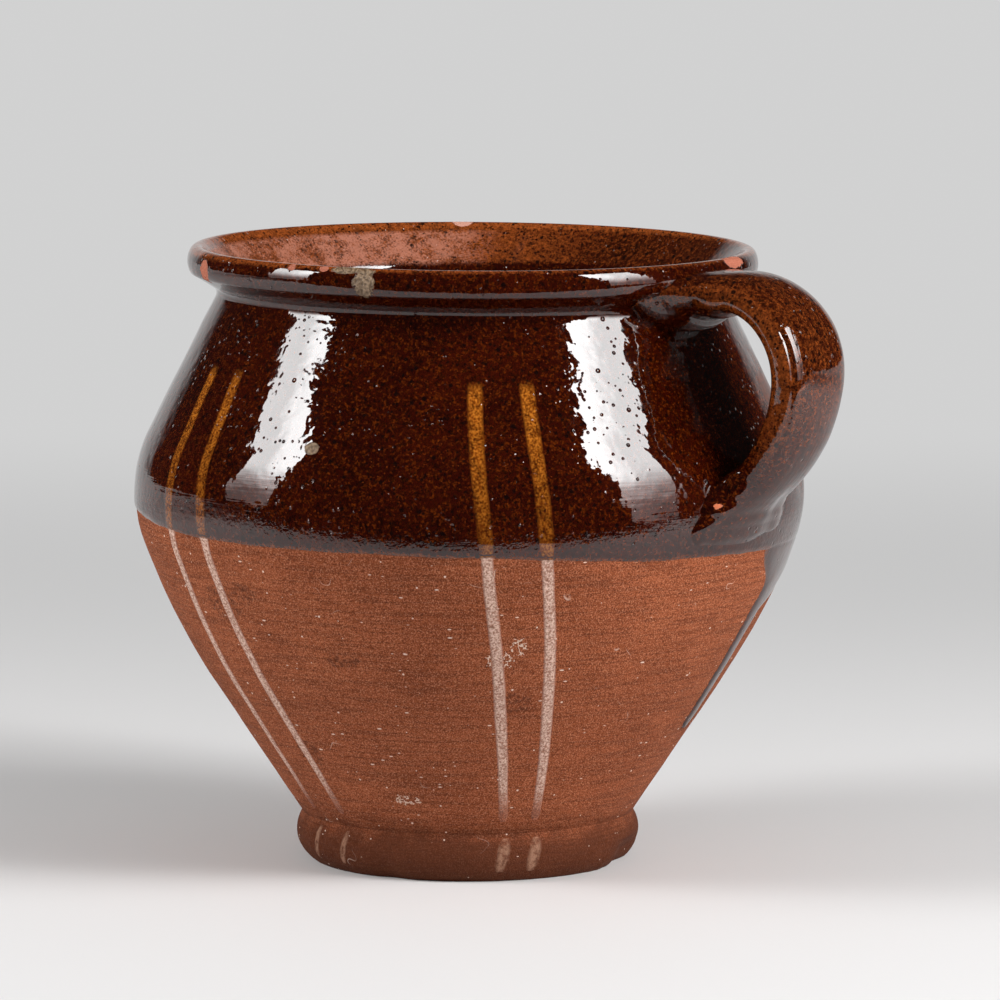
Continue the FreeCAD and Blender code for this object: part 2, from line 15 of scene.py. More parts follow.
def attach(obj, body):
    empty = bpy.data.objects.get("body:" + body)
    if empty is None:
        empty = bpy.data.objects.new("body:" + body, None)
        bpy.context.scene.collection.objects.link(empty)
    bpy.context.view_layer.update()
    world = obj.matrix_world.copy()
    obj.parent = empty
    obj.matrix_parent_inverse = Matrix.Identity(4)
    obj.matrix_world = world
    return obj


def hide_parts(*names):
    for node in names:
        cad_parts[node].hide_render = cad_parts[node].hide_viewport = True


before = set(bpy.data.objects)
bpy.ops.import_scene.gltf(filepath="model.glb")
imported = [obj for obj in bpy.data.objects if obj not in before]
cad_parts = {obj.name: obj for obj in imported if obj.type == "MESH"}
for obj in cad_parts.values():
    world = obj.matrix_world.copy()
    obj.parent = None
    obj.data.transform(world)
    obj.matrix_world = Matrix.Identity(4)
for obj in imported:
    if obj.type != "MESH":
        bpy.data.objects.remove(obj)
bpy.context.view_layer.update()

mm = 0.001

# %% [markdown]
# ## The camera
# A long lens from 1.8 m keeps the sides of the jar nearly parallel. The camera stands
# 35 degrees round from the front and 32 cm above the table, and looks slightly down into
# the mouth. It is aimed a little to the right of the jar, because the handle is there.

# %% Place the camera
view_angle = math.radians(35)
to_camera = Vector((math.sin(view_angle), -math.cos(view_angle), 0))
to_right = Vector((math.cos(view_angle), math.sin(view_angle), 0))
up = Vector((0, 0, 1))
camera_distance, camera_height = 1.8, 0.316

camera_data = bpy.data.cameras.new("camera")
camera_data.lens = 230.8
camera_data.sensor_width = 36
camera = bpy.data.objects.new("camera", camera_data)
bpy.context.scene.collection.objects.link(camera)
bpy.context.scene.camera = camera
aim = to_right * 8.7 * mm + up * 101.4 * mm
camera.location = to_camera * camera_distance + up * camera_height - to_right * 0.5 * mm
camera.rotation_euler = (aim - camera.location).to_track_quat("-Z", "Y").to_euler()
print("camera looks down", round(math.degrees(math.pi / 2 - camera.rotation_euler.x), 2))

# %% [markdown]
# ## Nodes
# The lamps, the room, the table and every finish of the jar are made of nodes. A small class
# adds and joins them, so a line of code reads like the sum it stands for. Its calls take
# numbers or sockets alike and give back the socket to use next. Noise and spots take their
# sizes in millimetres, because the finishes read their place in millimetres.

# %% Short calls that write nodes
class Nodes:
    """Adds nodes to one tree, which it empties first."""

    def __init__(self, tree):
        self.tree, self.link = tree, tree.links.new
        tree.nodes.clear()

    def add(self, kind, values=(), **settings):
        """Add a node, set it up, and feed its inputs by name or in their order."""
        node = self.tree.nodes.new(kind)
        for key, value in settings.items():
            setattr(node, key, value)
        for key, value in values.items() if isinstance(values, dict) else enumerate(values):
            self.feed(node.inputs[key], value)
        return node

    def feed(self, socket, value):
        if isinstance(value, bpy.types.NodeSocket):
            self.link(value, socket)
        else:
            socket.default_value = value

    def math(self, operation, *values, clamp=False):
        node = self.add("ShaderNodeMath", values, operation=operation, use_clamp=clamp)
        return node.outputs["Value"]

    def chain(self, operation, values):
        result = values[0]
        for value in values[1:]:
            result = self.math(operation, result, value)
        return result

    def total(self, *values):
        return self.chain("ADD", values)

    def product(self, *values):
        return self.chain("MULTIPLY", values)

    def largest(self, *values):
        return self.chain("MAXIMUM", values)

    def vector(self, operation, *values, output="Vector"):
        return self.add("ShaderNodeVectorMath", values, operation=operation).outputs[output]

    def split(self, vector):
        """The X, Y and Z of a vector."""
        return self.add("ShaderNodeSeparateXYZ", [vector]).outputs

    def ramp(self, value, low, high, to_low=0.0, to_high=1.0):
        """Ease from one value to another while the first goes from low to high."""
        names = ("Value", "From Min", "From Max", "To Min", "To Max")
        values = dict(zip(names, (value, low, high, to_low, to_high)))
        node = self.add("ShaderNodeMapRange", values, interpolation_type="SMOOTHSTEP")
        return node.outputs["Result"]

    def mix(self, share, first, second):
        """Mix two colours."""
        values = {"Factor": share, 6: first, 7: second}
        return self.add("ShaderNodeMix", values, data_type="RGBA").outputs[2]

    def blend(self, share, first, second):
        """Mix two numbers."""
        values = {"Factor": share, "A": first, "B": second}
        return self.add("ShaderNodeMix", values, data_type="FLOAT").outputs["Result"]

    def noise(self, place, grain, detail=2.0, rough=0.5):
        """Cloudy noise whose lumps are about the grain wide, in mm."""
        values = {"Vector": place, "Scale": 1 / grain, "Detail": detail, "Roughness": rough}
        return self.add("ShaderNodeTexNoise", values).outputs["Fac"]

    def spots(self, place, spacing, share, least, most):
        """Round spots: 1 in the middle of a spot, 0 at its edge and between spots."""
        cells = self.add("ShaderNodeTexVoronoi", {"Vector": place, "Scale": 1 / spacing})
        pick = self.add("ShaderNodeSeparateColor", [cells.outputs["Color"]]).outputs
        radius = self.ramp(pick["Green"], 0, 1, least / spacing, most / spacing)
        inside = self.math("DIVIDE", cells.outputs["Distance"], radius)
        shape = self.math("SUBTRACT", 1.0, inside, clamp=True)
        return self.product(shape, self.math("LESS_THAN", pick["Red"], share))

    def attribute(self, name):
        return self.add("ShaderNodeAttribute", attribute_name=name).outputs["Fac"]

    def millimetres(self):
        place = self.add("ShaderNodeTexCoord").outputs["Object"]
        return self.vector("MULTIPLY", place, (1000, 1000, 1000))


def colour(red, green, blue):
    return (red, green, blue, 1)

# %% [markdown]
# ## The studio
# Two tall soft lamps stand at the jar's left and right. Each shows in the glaze as a pale
# slanting window, so their places matter more than their power. The table is a large pale
# sheet. The studio behind it is pale too and the rest of the room is dark, which is what
# makes the dark glaze read as glossy: its edges mirror the pale backdrop.

# %% Add the lamps
def around(azimuth, elevation):
    """A direction: degrees to the right of the camera as the jar sees it, and up."""
    turn, rise = math.radians(azimuth), math.radians(elevation)
    level = to_camera * math.cos(turn) + to_right * math.sin(turn)
    return level * math.cos(rise) + up * math.sin(rise)


def light_cloth(tree, near_edge):
    """The tube behind a lamp's cloth is near its top and nearer the camera, so the cloth is
    dimmer towards its far edge, and dimmer and pinker towards its bottom."""
    nodes = Nodes(tree)
    cloth = nodes.split(nodes.add("ShaderNodeNewGeometry").outputs["Parametric"])
    upward = nodes.ramp(cloth["Y"], 0.15, 0.80, 0.13, 1.40)
    sideways = nodes.ramp(cloth["X"], *near_edge, 0.82, 1.3)
    tint = nodes.mix(upward, colour(1.0, 0.80, 0.77), colour(1.0, 1.0, 1.0))
    glow = nodes.add("ShaderNodeEmission", [tint, nodes.product(upward, sideways)])
    nodes.add("ShaderNodeOutputLight", [glow.outputs["Emission"]])


def soft_lamp(name, azimuth, elevation, width, height, power, lean=0, mirrored=True):
    """A soft box 1.3 m from the jar's belly, square to it and leaning by some degrees. A lamp
    that isn't mirrored stands for the light that the room scatters from that side."""
    lamp = bpy.data.lights.new(name, "AREA")
    lamp.shape = "RECTANGLE"
    lamp.size, lamp.size_y = width, height
    lamp.energy = power
    lamp.use_nodes = True
    light_cloth(lamp.node_tree, (0.35, 0.85) if azimuth < 0 else (0.65, 0.15))
    holder = bpy.data.objects.new(name, lamp)
    bpy.context.scene.collection.objects.link(holder)
    holder.visible_glossy = mirrored
    direction = around(azimuth, elevation)
    holder.location = direction * 1.3 + up * 0.1
    facing = direction.to_track_quat("Z", "Y").to_matrix().to_4x4()
    leaning = facing @ Matrix.Rotation(math.radians(lean), 4, "Z")
    holder.rotation_euler = leaning.to_euler()
    print(name, "at", [round(v, 2) for v in holder.location])


soft_lamp("left_lamp", -79, 21, 0.42, 0.80, 9.4, 4)
soft_lamp("right_lamp", 62.5, 21.5, 0.48, 1.15, 17.8, 4)
soft_lamp("left_scatter", -79, 24, 0.70, 1.0, 8.0, 0, False)
soft_lamp("right_scatter", 62, 24, 0.70, 1.2, 11.5, 0, False)

# %% [markdown]
# Three kinds of rays ask the room for its brightness. The camera sees a pale wall, the glaze
# mirrors a backdrop of limited width and height in a dark room, and everything else gets a
# dim even light that fills the shadows.

# %% Light the room
world = bpy.data.worlds.new("studio")
bpy.context.scene.world = world
world.use_nodes = True
nodes = Nodes(world.node_tree)
direction = nodes.add("ShaderNodeTexCoord").outputs["Generated"]
behind = nodes.vector("DOT_PRODUCT", direction, -to_camera, output="Value")
backdrop_reach = nodes.ramp(behind, math.cos(math.radians(38)), math.cos(math.radians(25)))
backdrop_top = nodes.ramp(nodes.split(direction)["Z"], math.sin(math.radians(28)),
                          math.sin(math.radians(11)))
mirrored = nodes.blend(nodes.product(backdrop_reach, backdrop_top), 0.015, 0.62)
rays = nodes.add("ShaderNodeLightPath").outputs
for_eye = nodes.blend(rays["Is Camera Ray"], 0.27, 0.62)
for_gloss = nodes.blend(rays["Is Glossy Ray"], for_eye, mirrored)
room = nodes.add("ShaderNodeBackground", [for_gloss])
nodes.add("ShaderNodeOutputWorld", [room.outputs["Background"]])

# %% [markdown]
# The table is a sheet of pale paper. Far behind the jar it glows softly, so that it meets the
# wall without a line. In front it ends at 36 cm, which only the glaze can see: the lower
# belly mirrors a narrow grey band of table and then the dark room.

# %% Lay the table
def new_object(name, bm):
    """Turn a finished bmesh into an object of the scene."""
    mesh = bpy.data.meshes.new(name)
    bm.to_mesh(mesh)
    bm.free()
    piece = bpy.data.objects.new(name, mesh)
    bpy.context.scene.collection.objects.link(piece)
    return piece


bm = bmesh.new()
bmesh.ops.create_grid(bm, x_segments=1, y_segments=1, size=14)
table = new_object("table", bm)

paper = bpy.data.materials.new("table_paper")
paper.use_nodes = True
nodes = Nodes(paper.node_tree)
place = nodes.add("ShaderNodeTexCoord").outputs["Object"]
nearness = nodes.vector("DOT_PRODUCT", place, to_camera, output="Value")
lit = nodes.add("ShaderNodeBsdfPrincipled", {"Base Color": colour(0.675, 0.675, 0.675),
                                             "Roughness": 0.7})
far = nodes.add("ShaderNodeEmission", [colour(0.64, 0.64, 0.64)])
dark = nodes.add("ShaderNodeEmission", [colour(0.015, 0.015, 0.015)])
far_share = nodes.ramp(nearness, -0.2, -1.15)
glossy_ray = nodes.add("ShaderNodeLightPath").outputs["Is Glossy Ray"]
past_edge = nodes.product(nodes.math("GREATER_THAN", nearness, 0.36), glossy_ray)
near_far = nodes.add("ShaderNodeMixShader", [far_share, lit.outputs["BSDF"],
                                             far.outputs["Emission"]])
with_dark = nodes.add("ShaderNodeMixShader", [past_edge, near_far.outputs["Shader"],
                                              dark.outputs["Emission"]])
nodes.add("ShaderNodeOutputMaterial", [with_dark.outputs["Shader"]])
table.data.materials.append(paper)
bpy.context.scene.view_settings.view_transform = "Standard"

# %% [markdown]
# ## The thrown wall
# A potter pulls the wall up from one lump, so the jar is round and its outline is one
# smooth curve. The outline is drawn like a compass drawing: one point is spun about the
# middle of each arc, and extruded where the wall is straight. Spinning the whole outline
# round the jar's axis gives the wall.

# %% Work out the points of the outline
def point(radius, height):
    return Vector((radius, 0, height)) * mm


def polar(length, angle):
    return point(length * math.cos(angle), length * math.sin(angle))


def touching_line(centre_a, radius_a, centre_b, radius_b):
    """Ends of the line that touches two circles; a radius below zero is the other side."""
    across = centre_b - centre_a
    normal = math.atan2(across.z, across.x)
    normal -= math.acos((radius_a - radius_b) * mm / across.length)
    return centre_a + polar(radius_a, normal), centre_b + polar(radius_b, normal)


wall, belly_height, belly_low = 6.0, 104.5, -20.8
foot_edge, groove, foot_centre = point(44.5, 0), point(46.9, 13.6), point(39.0, 7.8)
flank_centre, belly_centre = point(-104.3, 165.1), point(55.0, belly_height)
belly_curve, neck_curve, lip_curve, throat_curve, floor_curve = 39.2, 3.0, 1.8, 4.0, 16.0
flank_curve = (belly_centre - flank_centre).length / mm + belly_curve
neck_centre, lip_centre, throat_centre = point(74.5, 160.2), point(77.6, 171.3), point(70.6, 160)
ridge, band_centre, band_curve = point(79.2, 166.4), point(73.93, 169.26), 6.0
flank_low = touching_line(groove, 0, flank_centre, flank_curve)[1]
flank_out = (flank_low - flank_centre).normalized()
floor_height = 23.5
floor_radius = groove.dot(flank_out) / mm - wall - floor_curve - floor_height * flank_out.z
floor_centre = point(floor_radius / flank_out.x, floor_height)
print("flank radius", round(flank_curve, 1), "floor arc centre at", floor_centre / mm)

# %% [markdown]
# Two short functions do the drawing. Each takes the last point drawn, pulls it on with an
# operator and gives back the new last point, so the outline is drawn in one stroke.

# %% Draw straight runs and arcs with a moving point
def draw_line(bm, pen, end, step):
    """Pull the pen point straight to an end in equal steps."""
    start = pen.co.copy()
    steps = max(1, round((end - start).length / (step * mm)))
    for count in range(1, steps + 1):
        pen = bmesh.ops.extrude_vert_indiv(bm, verts=[pen])["verts"][0]
        pen.co = start.lerp(end, count / steps)
    return pen


def draw_arc(bm, pen, centre, end, step):
    """Swing the pen point round a centre to an end."""
    start, finish = pen.co - centre, end - centre
    turn = math.atan2(finish.z, finish.x) - math.atan2(start.z, start.x)
    turn = (turn + math.pi) % math.tau - math.pi
    steps = max(2, round(abs(turn) * start.length / (step * mm)))
    swung = bmesh.ops.spin(bm, geom=[pen], cent=centre, axis=(0, -1, 0), angle=turn,
                           steps=steps, use_duplicate=False)
    tip = next(part for part in swung["geom_last"] if isinstance(part, bmesh.types.BMVert))
    tip.co = end
    return tip

# %% [markdown]
# The same outline serves twice: bare for the clay, and grown by a skin for the glaze. Arcs
# keep their middles and change radius, so the skin is equally thick everywhere.

# %% Draw from the foot to the throat
def draw_foot(bm, pen, step):
    """From the middle of the base over the foot and up the flank to the belly."""
    pen = draw_line(bm, pen, foot_edge, 6)
    pen = draw_arc(bm, pen, foot_centre, groove, step)
    pen = draw_line(bm, pen, flank_low, step)
    return draw_arc(bm, pen, flank_centre, belly_point(belly_low, 0), step)


def belly_point(angle, skin):
    return belly_centre + polar(belly_curve + skin, math.radians(angle))


def draw_shoulder(bm, pen, skin, step, fine):
    """From the belly over the shoulder and the rim into the throat."""
    neck = -(neck_curve - skin)
    belly_top, neck_low = touching_line(belly_centre, belly_curve + skin, neck_centre, neck)
    ridge_out = band_centre + (ridge - band_centre) * (1 + skin / band_curve)
    side = (lip_centre - band_centre).normalized() * (lip_curve + skin) * mm
    neck_top = touching_line(neck_centre, neck, ridge_out, 0)[0]
    lip_inner, throat_top = touching_line(
        lip_centre, lip_curve + skin, throat_centre, throat_curve + skin)
    throat_low = touching_line(
        belly_centre, belly_curve - wall - skin, throat_centre, -throat_curve - skin)[1]
    pen = draw_arc(bm, pen, belly_centre, belly_top, step)
    pen = draw_line(bm, pen, neck_low, step)
    pen = draw_arc(bm, pen, neck_centre, neck_top, fine)
    pen = draw_line(bm, pen, ridge_out, fine)
    pen = draw_arc(bm, pen, band_centre, lip_centre + side, fine)
    pen = draw_arc(bm, pen, lip_centre, lip_inner, fine * 0.6)
    pen = draw_line(bm, pen, throat_top, fine)
    return draw_arc(bm, pen, throat_centre, throat_low, fine)

# %% [markdown]
# Inside, the wall has the same thickness all the way down, and a round turn leads from the
# flank to the floor.

# %% Draw the inside
def draw_inside(bm, pen, skin, step):
    """From the throat down the inside to the middle of the floor."""
    depth = wall + skin
    belly_top = touching_line(
        belly_centre, belly_curve - depth, throat_centre, -throat_curve - skin)[0]
    flank_end = flank_centre + flank_out * (flank_curve - depth) * mm
    floor_top = floor_centre + flank_out * (floor_curve - skin) * mm
    floor_edge = floor_centre - point(0, floor_curve - skin)
    pen = draw_line(bm, pen, belly_top, step)
    pen = draw_arc(bm, pen, belly_centre, belly_point(belly_low, -depth), step)
    pen = draw_arc(bm, pen, flank_centre, flank_end, step)
    pen = draw_line(bm, pen, floor_top, step)
    pen = draw_arc(bm, pen, floor_centre, floor_edge, step)
    return draw_line(bm, pen, point(0, floor_edge.z / mm), step)

# %% [markdown]
# Whatever lies on the wall has to know the wall's radius at its own height. So the outline is
# drawn once more, finely, and its outer points are kept as a list to look the radius up in.

# %% Measure the wall
base_edge, throat_edge, rim_low = 0.04, 0.0712, 0.15
bm = bmesh.new()
pen = draw_foot(bm, bm.verts.new((0, 0, 0)), 0.8)
draw_shoulder(bm, pen, 0, 0.8, 0.4)
outline = sorted((v.co.z, v.co.x) for v in bm.verts if v.co.z <= ridge.z
                 and v.co.x > (throat_edge if v.co.z > rim_low else base_edge))
bm.free()


def wall_radius(height):
    """The clay's outside radius at a height between the base and the rim's ridge."""
    place = bisect.bisect_left(outline, (height, 0))
    low, high = outline[max(place - 1, 0)], outline[min(place, len(outline) - 1)]
    share = (height - low[0]) / max(high[0] - low[0], 1e-9)
    return low[1] + (high[1] - low[1]) * min(max(share, 0), 1)


def wall_stretch(height):
    """How much longer a step out is level than square to the wall."""
    slope = (wall_radius(height + 0.5 * mm) - wall_radius(height - 0.5 * mm)) / mm
    return math.hypot(1, slope)


print("wall radius at the belly", round(wall_radius(belly_height * mm) / mm, 2))

# %% [markdown]
# ## What the kiln and the hand did to it
# The real jar isn't a perfect solid of revolution. It leans a little, its rim dips towards
# the front right, the wall swells where a thumb pressed, and it shows soft throwing rings.
# One function holds all of that, and every piece goes through it, so they stay together.

# %% Describe how the jar settled
def smooth(value, low, high):
    share = min(max((value - low) / (high - low), 0), 1)
    return share * share * (3 - 2 * share)


def swell(value, middle, width):
    return math.exp(-((value - middle) / width) ** 2)


def settle(co):
    """Move a point of the ideal jar to where it is on this jar."""
    height, radius = co.z / mm, math.hypot(co.x, co.y) / mm
    turn = math.atan2(co.y, co.x)
    from_camera = math.degrees(turn) + 55
    rings = 0.015 * math.sin(height / 1.3 + turn) + 0.05 * math.sin(height / 3.1 - turn)
    rings += 0.12 * noise.noise(Vector((co.x * 14, co.y * 14, co.z * 40)))
    rings += 0.55 * swell(height, 78, 12) * swell(from_camera, 88, 26)
    round_error = 0.12 * math.sin(2 * turn + 1) + 0.08 * math.sin(3 * turn + 2)
    grow = (rings + round_error) * smooth(height, 4, 30) * smooth(radius, 20, 50)
    grow -= 0.2 * smooth(height, 60, 100) * smooth(radius, 60, 90)
    outward = Vector((math.cos(turn), math.sin(turn), 0))
    lean = 1.71 * (max(height, 0) / 173.6) ** 2.5 - 0.48 * smooth(height, -1, 6)
    upper = smooth(height, 110, 170)
    dip = upper * (-0.0067 * co.dot(to_right) - 0.010 * co.dot(to_camera))
    return co + (outward * grow + to_right * lean) * mm + up * dip

# %% [markdown]
# Every piece ends the same way: it goes through the settling, gets its faces outward and its
# sharp edges marked, and is given to the frame with the CAD nodes that it stands for.

# %% Turn an outline and finish a piece
def turn_full(bm, steps):
    """Spin a drawn outline all the way round and close the seam and the poles."""
    bmesh.ops.spin(bm, geom=bm.verts[:] + bm.edges[:], axis=(0, 0, 1), cent=(0, 0, 0),
                   angle=math.tau, steps=steps, use_merge=True, use_duplicate=False)
    bmesh.ops.remove_doubles(bm, verts=bm.verts, dist=0.002 * mm)


def finish(name, bm, nodes, slot):
    """Settle a piece, face it outward and give it to the frame."""
    bmesh.ops.recalc_face_normals(bm, faces=bm.faces)
    for vert in bm.verts:
        vert.co = settle(vert.co)
    for face in bm.faces:
        face.smooth = True
    for edge in bm.edges:
        edge.smooth = edge.calc_face_angle(0) < math.radians(50)
    triangles = sum(len(face.verts) - 2 for face in bm.faces)
    piece = new_object(name, bm)
    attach(piece, "root")
    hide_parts(*nodes)
    size = [round(v / mm, 1) for v in piece.dimensions]
    print(name, triangles, "triangles, size in mm", size)
    return piece

# %% [markdown]
# The wall is the plain outline turned all the way round. Its foot was rubbed in use and
# knocked twice, so the points near the base are pulled in there.

# %% Throw the wall
bm = bmesh.new()
pen = draw_foot(bm, bm.verts.new((0, 0, 0)), 1.1)
pen = draw_shoulder(bm, pen, 0, 3.0, 1.2)
draw_inside(bm, pen, 0, 5.0)
turn_full(bm, 360)
for vert in bm.verts:
    height, degrees = vert.co.z / mm, math.degrees(math.atan2(vert.co.y, vert.co.x))
    if height < 9 and vert.co.xy.length > 30 * mm:
        worn = 0.35 * noise.noise(vert.co * 160) + 0.25 * noise.noise(vert.co * 420)
        knock = 2.6 * swell(degrees, 17, 11) + 1.2 * swell(degrees, -84, 5)
        inset = knock * smooth(height, 9, 4) + worn * smooth(height, 7, 0)
        vert.co.xy *= 1 - abs(inset) * mm / vert.co.xy.length
thrown_wall = finish("thrown_wall", bm, ["thrown_body"], "terracotta")

# %% [markdown]
# ## The glaze
# The jar was held by its foot and dipped, so the glaze ends in one tilted line below the
# belly, about 95 mm up. The line wanders a little, as the surface of the glaze did.

# %% Find the dipping line
coat_out, coat_in = 0.5, -0.15
glaze_low = 92.0


def line_height(turn):
    """Height of the dipping line in mm at an angle from the handle."""
    degrees = math.degrees(turn)
    tilt = -4.0 * math.cos(turn - math.radians(50))
    wave = 0.5 * noise.noise(Vector((math.cos(turn), math.sin(turn), 4)) * 4)
    wave += 0.2 * noise.noise(Vector((math.cos(turn), math.sin(turn), 9)) * 17)
    return 95.6 + tilt + wave - 1.4 * swell(degrees, -105, 30) + 1.2 * swell(degrees, -145, 25)


def coat_share(over_line):
    """None of the coat just under the dipping line, all of it a millimetre over the line."""
    return smooth(over_line, -0.1, 1.1)


def hang_on_line(co):
    """Slide a point of the coat so that its lower edge follows the dipping line."""
    height, turn = co.z / mm, math.atan2(co.y, co.x)
    outward = Vector((math.cos(turn), math.sin(turn), 0))
    line = line_height(turn)
    lowered = height + (line - glaze_low) * (1 - smooth(height, glaze_low, glaze_low + 34))
    clay = wall_radius(height * mm)
    skin = math.hypot(co.x, co.y) - clay
    edge = max(skin, 0) * (1 - coat_share(lowered - line))
    change = wall_radius(lowered * mm) - clay
    return co + outward * (change - edge) + up * (lowered - height) * mm


def glaze_start(skin):
    """The outline's point at the height of the lowest glaze."""
    rise = math.asin((glaze_low - belly_height) / (belly_curve + skin))
    return belly_centre + polar(belly_curve + skin, rise)

# %% [markdown]
# The coat is about half a millimetre thick and thins to nothing at the line. Its outer face
# and the face against the clay are one closed outline, drawn from the line up, over the rim
# and down to the middle of the floor, and turned together. Two values go with every point
# for the finish: whether it looks inward, and how far over the line it is.

# %% Dip it in glaze
bm = bmesh.new()
outer_pen = bm.verts.new(glaze_start(coat_out))
inner_pen = draw_line(bm, outer_pen, glaze_start(coat_in), 1)
outer_pen = draw_shoulder(bm, outer_pen, coat_out, 0.95, 0.7)
draw_inside(bm, outer_pen, coat_out, 4.5)
inner_pen = draw_shoulder(bm, inner_pen, coat_in, 3.5, 1.3)
draw_inside(bm, inner_pen, coat_in, 6.0)
turn_full(bm, 352)
inward = bm.verts.layers.float.new("inward")
above = bm.verts.layers.float.new("above")
for vert in bm.verts:
    radius, height = vert.co.xy.length / mm, vert.co.z / mm
    inner = 1 if radius < wall_radius(vert.co.z) / mm - 3 and height < 166 else 0
    vert[inward] = max(inner, smooth(height, 166, 166.1) * (1 - smooth(radius, 76.8, 78.2)))
    vert[above] = 50 if inner else height - glaze_low
    if vert.co.z < 150 * mm and vert.co.xy.length > wall_radius(vert.co.z) - 3 * mm:
        vert.co = hang_on_line(vert.co)
glaze_coat = finish("glaze_coat", bm, ["outer_glaze", "inner_glaze"], "honey_glaze")

# %% [markdown]
# ## The slip lines
# White slip was poured down the wall in pairs from a horn or a cup before the dip. Under
# the glaze it shines honey yellow, below the line it is a dry cream. Each line is a strip
# with a low dome, laid on the wall along its own slightly wandering path. A strip carries
# three values for its finish: the share along it, the share across it, and its height over
# the dipping line.

# %% Lay a strip on the wall
def new_strip():
    """An empty bmesh with the three values of a strip."""
    bm = bmesh.new()
    for name in ("along", "across", "above"):
        bm.verts.layers.float.new(name)
    return bm


def lay_strip(bm, path, width, thickness, rows, columns, joined=False):
    """Lay a domed strip on the wall. The path gives an angle and a height in mm for a share.
    A joined strip is one with the glaze coat, any other lies under it."""
    grid = bmesh.ops.create_grid(bm, x_segments=columns, y_segments=rows, size=1)
    along = bm.verts.layers.float["along"]
    across = bm.verts.layers.float["across"]
    above = bm.verts.layers.float["above"]
    for vert in grid["verts"]:
        side, share = vert.co.x, (1 - vert.co.y) / 2
        turn, height = path(share)
        radius = wall_radius(height * mm)
        turn += side * width(share, side) / 2 * mm / radius
        dome = thickness(share, side) * (1 - side ** 4) - 0.04 * side ** 4
        glazed = coat_out * coat_share(height - line_height(turn))
        cover = dome + glazed
        if joined:
            rise = smooth(share, 0, 0.06)
            cover = max(dome * rise, glazed + 0.1 * rise - 0.07 - 0.1 * side ** 6)
        reach = radius + cover * wall_stretch(height * mm) * mm
        vert[along], vert[across] = share, side
        vert[above] = height - line_height(turn)
        vert.co = Vector((math.cos(turn) * reach, math.sin(turn) * reach, height * mm))
    faces = list({face for vert in grid["verts"] for face in vert.link_faces})
    bmesh.ops.recalc_face_normals(bm, faces=faces)
    middle = faces[len(faces) // 2]
    if middle.normal.dot(middle.calc_center_median().xy.to_3d()) < 0:
        bmesh.ops.reverse_faces(bm, faces=faces)
    bmesh.ops.solidify(bm, geom=faces, thickness=0.2 * mm)

# %% [markdown]
# Five pairs go round the jar. Each line starts on the shoulder, slants as the pot was turned
# under the horn, and is narrower where it lies bare on the clay.

# %% Trail the slip
slip_angles = [(-44.3, -33.0), (-54.3, -43.8), (-107.5, -100.0), (-116.5, -115.0),
               (-174.0, -170.0), (-184.5, -182.0), (118.0, 121.0), (108.5, 110.0),
               (51.5, 54.0), (42.0, 47.0)]
slip_top, slip_tip = 144.0, 17.5
slips = []
for number, (top_angle, tip_angle) in enumerate(slip_angles, 1):
    def slip_path(share):
        wander = 0.35 * noise.noise(Vector((share * 5, number * 7.3, 0))) * smooth(share, 0, 0.1)
        degrees = top_angle + (tip_angle - top_angle) * share ** 1.6 + wander
        return math.radians(degrees), slip_top + (slip_tip - slip_top) * share

    def slip_width(share, side):
        ragged = 0.35 * noise.noise(Vector((share * 22, number * 3.1, side * 2)))
        ends = smooth(share, -0.012, 0.01) * (1 - smooth(share, 0.985, 1.01))
        taper = 6.2 - 2.35 * smooth(share, 0.30, 0.39) - 1.0 * smooth(share, 0.7, 1)
        return (taper + ragged) * (0.25 + 0.75 * ends)

    def slip_thickness(share, side):
        lumps = 0.05 * noise.noise(Vector((share * 30, side * 2, number)))
        return 0.065 + (0.09 + lumps) * smooth(share, 0.38, 0.42)

    bm = new_strip()
    lay_strip(bm, slip_path, slip_width, slip_thickness, 130, 10)
    name = "slip_line_%d" % number
    slips.append(finish("poured_" + name, bm, [name], "cream_slip"))

# %% [markdown]
# Each line stops in the groove over the foot and leaves a short dab on the foot's round edge.
# The dabs are one piece, because the CAD holds them as one node.

# %% Let the slip run on over the foot
bm = new_strip()
for number, (top_angle, tip_angle) in enumerate(slip_angles, 1):
    def dab_path(share):
        degrees = tip_angle + (1.6 if number < 3 else 0.4) - 2.4 * share
        return math.radians(degrees), 12.4 - 9.4 * share

    def dab_width(share, side):
        ragged = 0.9 * noise.noise(Vector((share * 6, number * 5.7, side * 3)))
        ends = smooth(share, -0.1, 0.25) * (1 - smooth(share, 0.7, 1.15))
        spread = 4.8 if number not in (3, 4) else 3.0
        return (spread + ragged) * (0.35 + 0.65 * ends)

    lay_strip(bm, dab_path, dab_width, lambda share, side: 0.08, 14, 6)
dabs = finish("foot_slip", bm, ["foot_dabs"], "cream_slip")

# %% [markdown]
# ## The run
# Beside the handle the glaze was thick enough to run on down the wall. A broad lobe hangs
# from the coat and narrows to one long tongue that ends in a drop.

# %% Say where the run goes
run_top, run_length = 95.0, 55.0
# The run's two edges in degrees from the handle, for a share of the way down.
left_edge = [(0, 7.5), (0.06, 7.5), (0.26, 13.6), (0.38, 12.2), (0.55, 11.4), (1, 11.2)]
right_edge = [(0, 35), (0.16, 33), (0.30, 25), (0.40, 17.8), (0.55, 16.3), (1, 16.0)]


def table_value(table, place):
    """Read a value between the rows of a table of places and values."""
    for (low, first), (high, second) in zip(table, table[1:]):
        if place <= high:
            return first + (second - first) * smooth(place, low, high)
    return table[-1][1]


def run_path(share):
    wander = 0.3 * noise.noise(Vector((share * 3, 2, 5)))
    middle = (table_value(left_edge, share) + table_value(right_edge, share)) / 2
    return math.radians(middle + wander), run_top - run_length * share


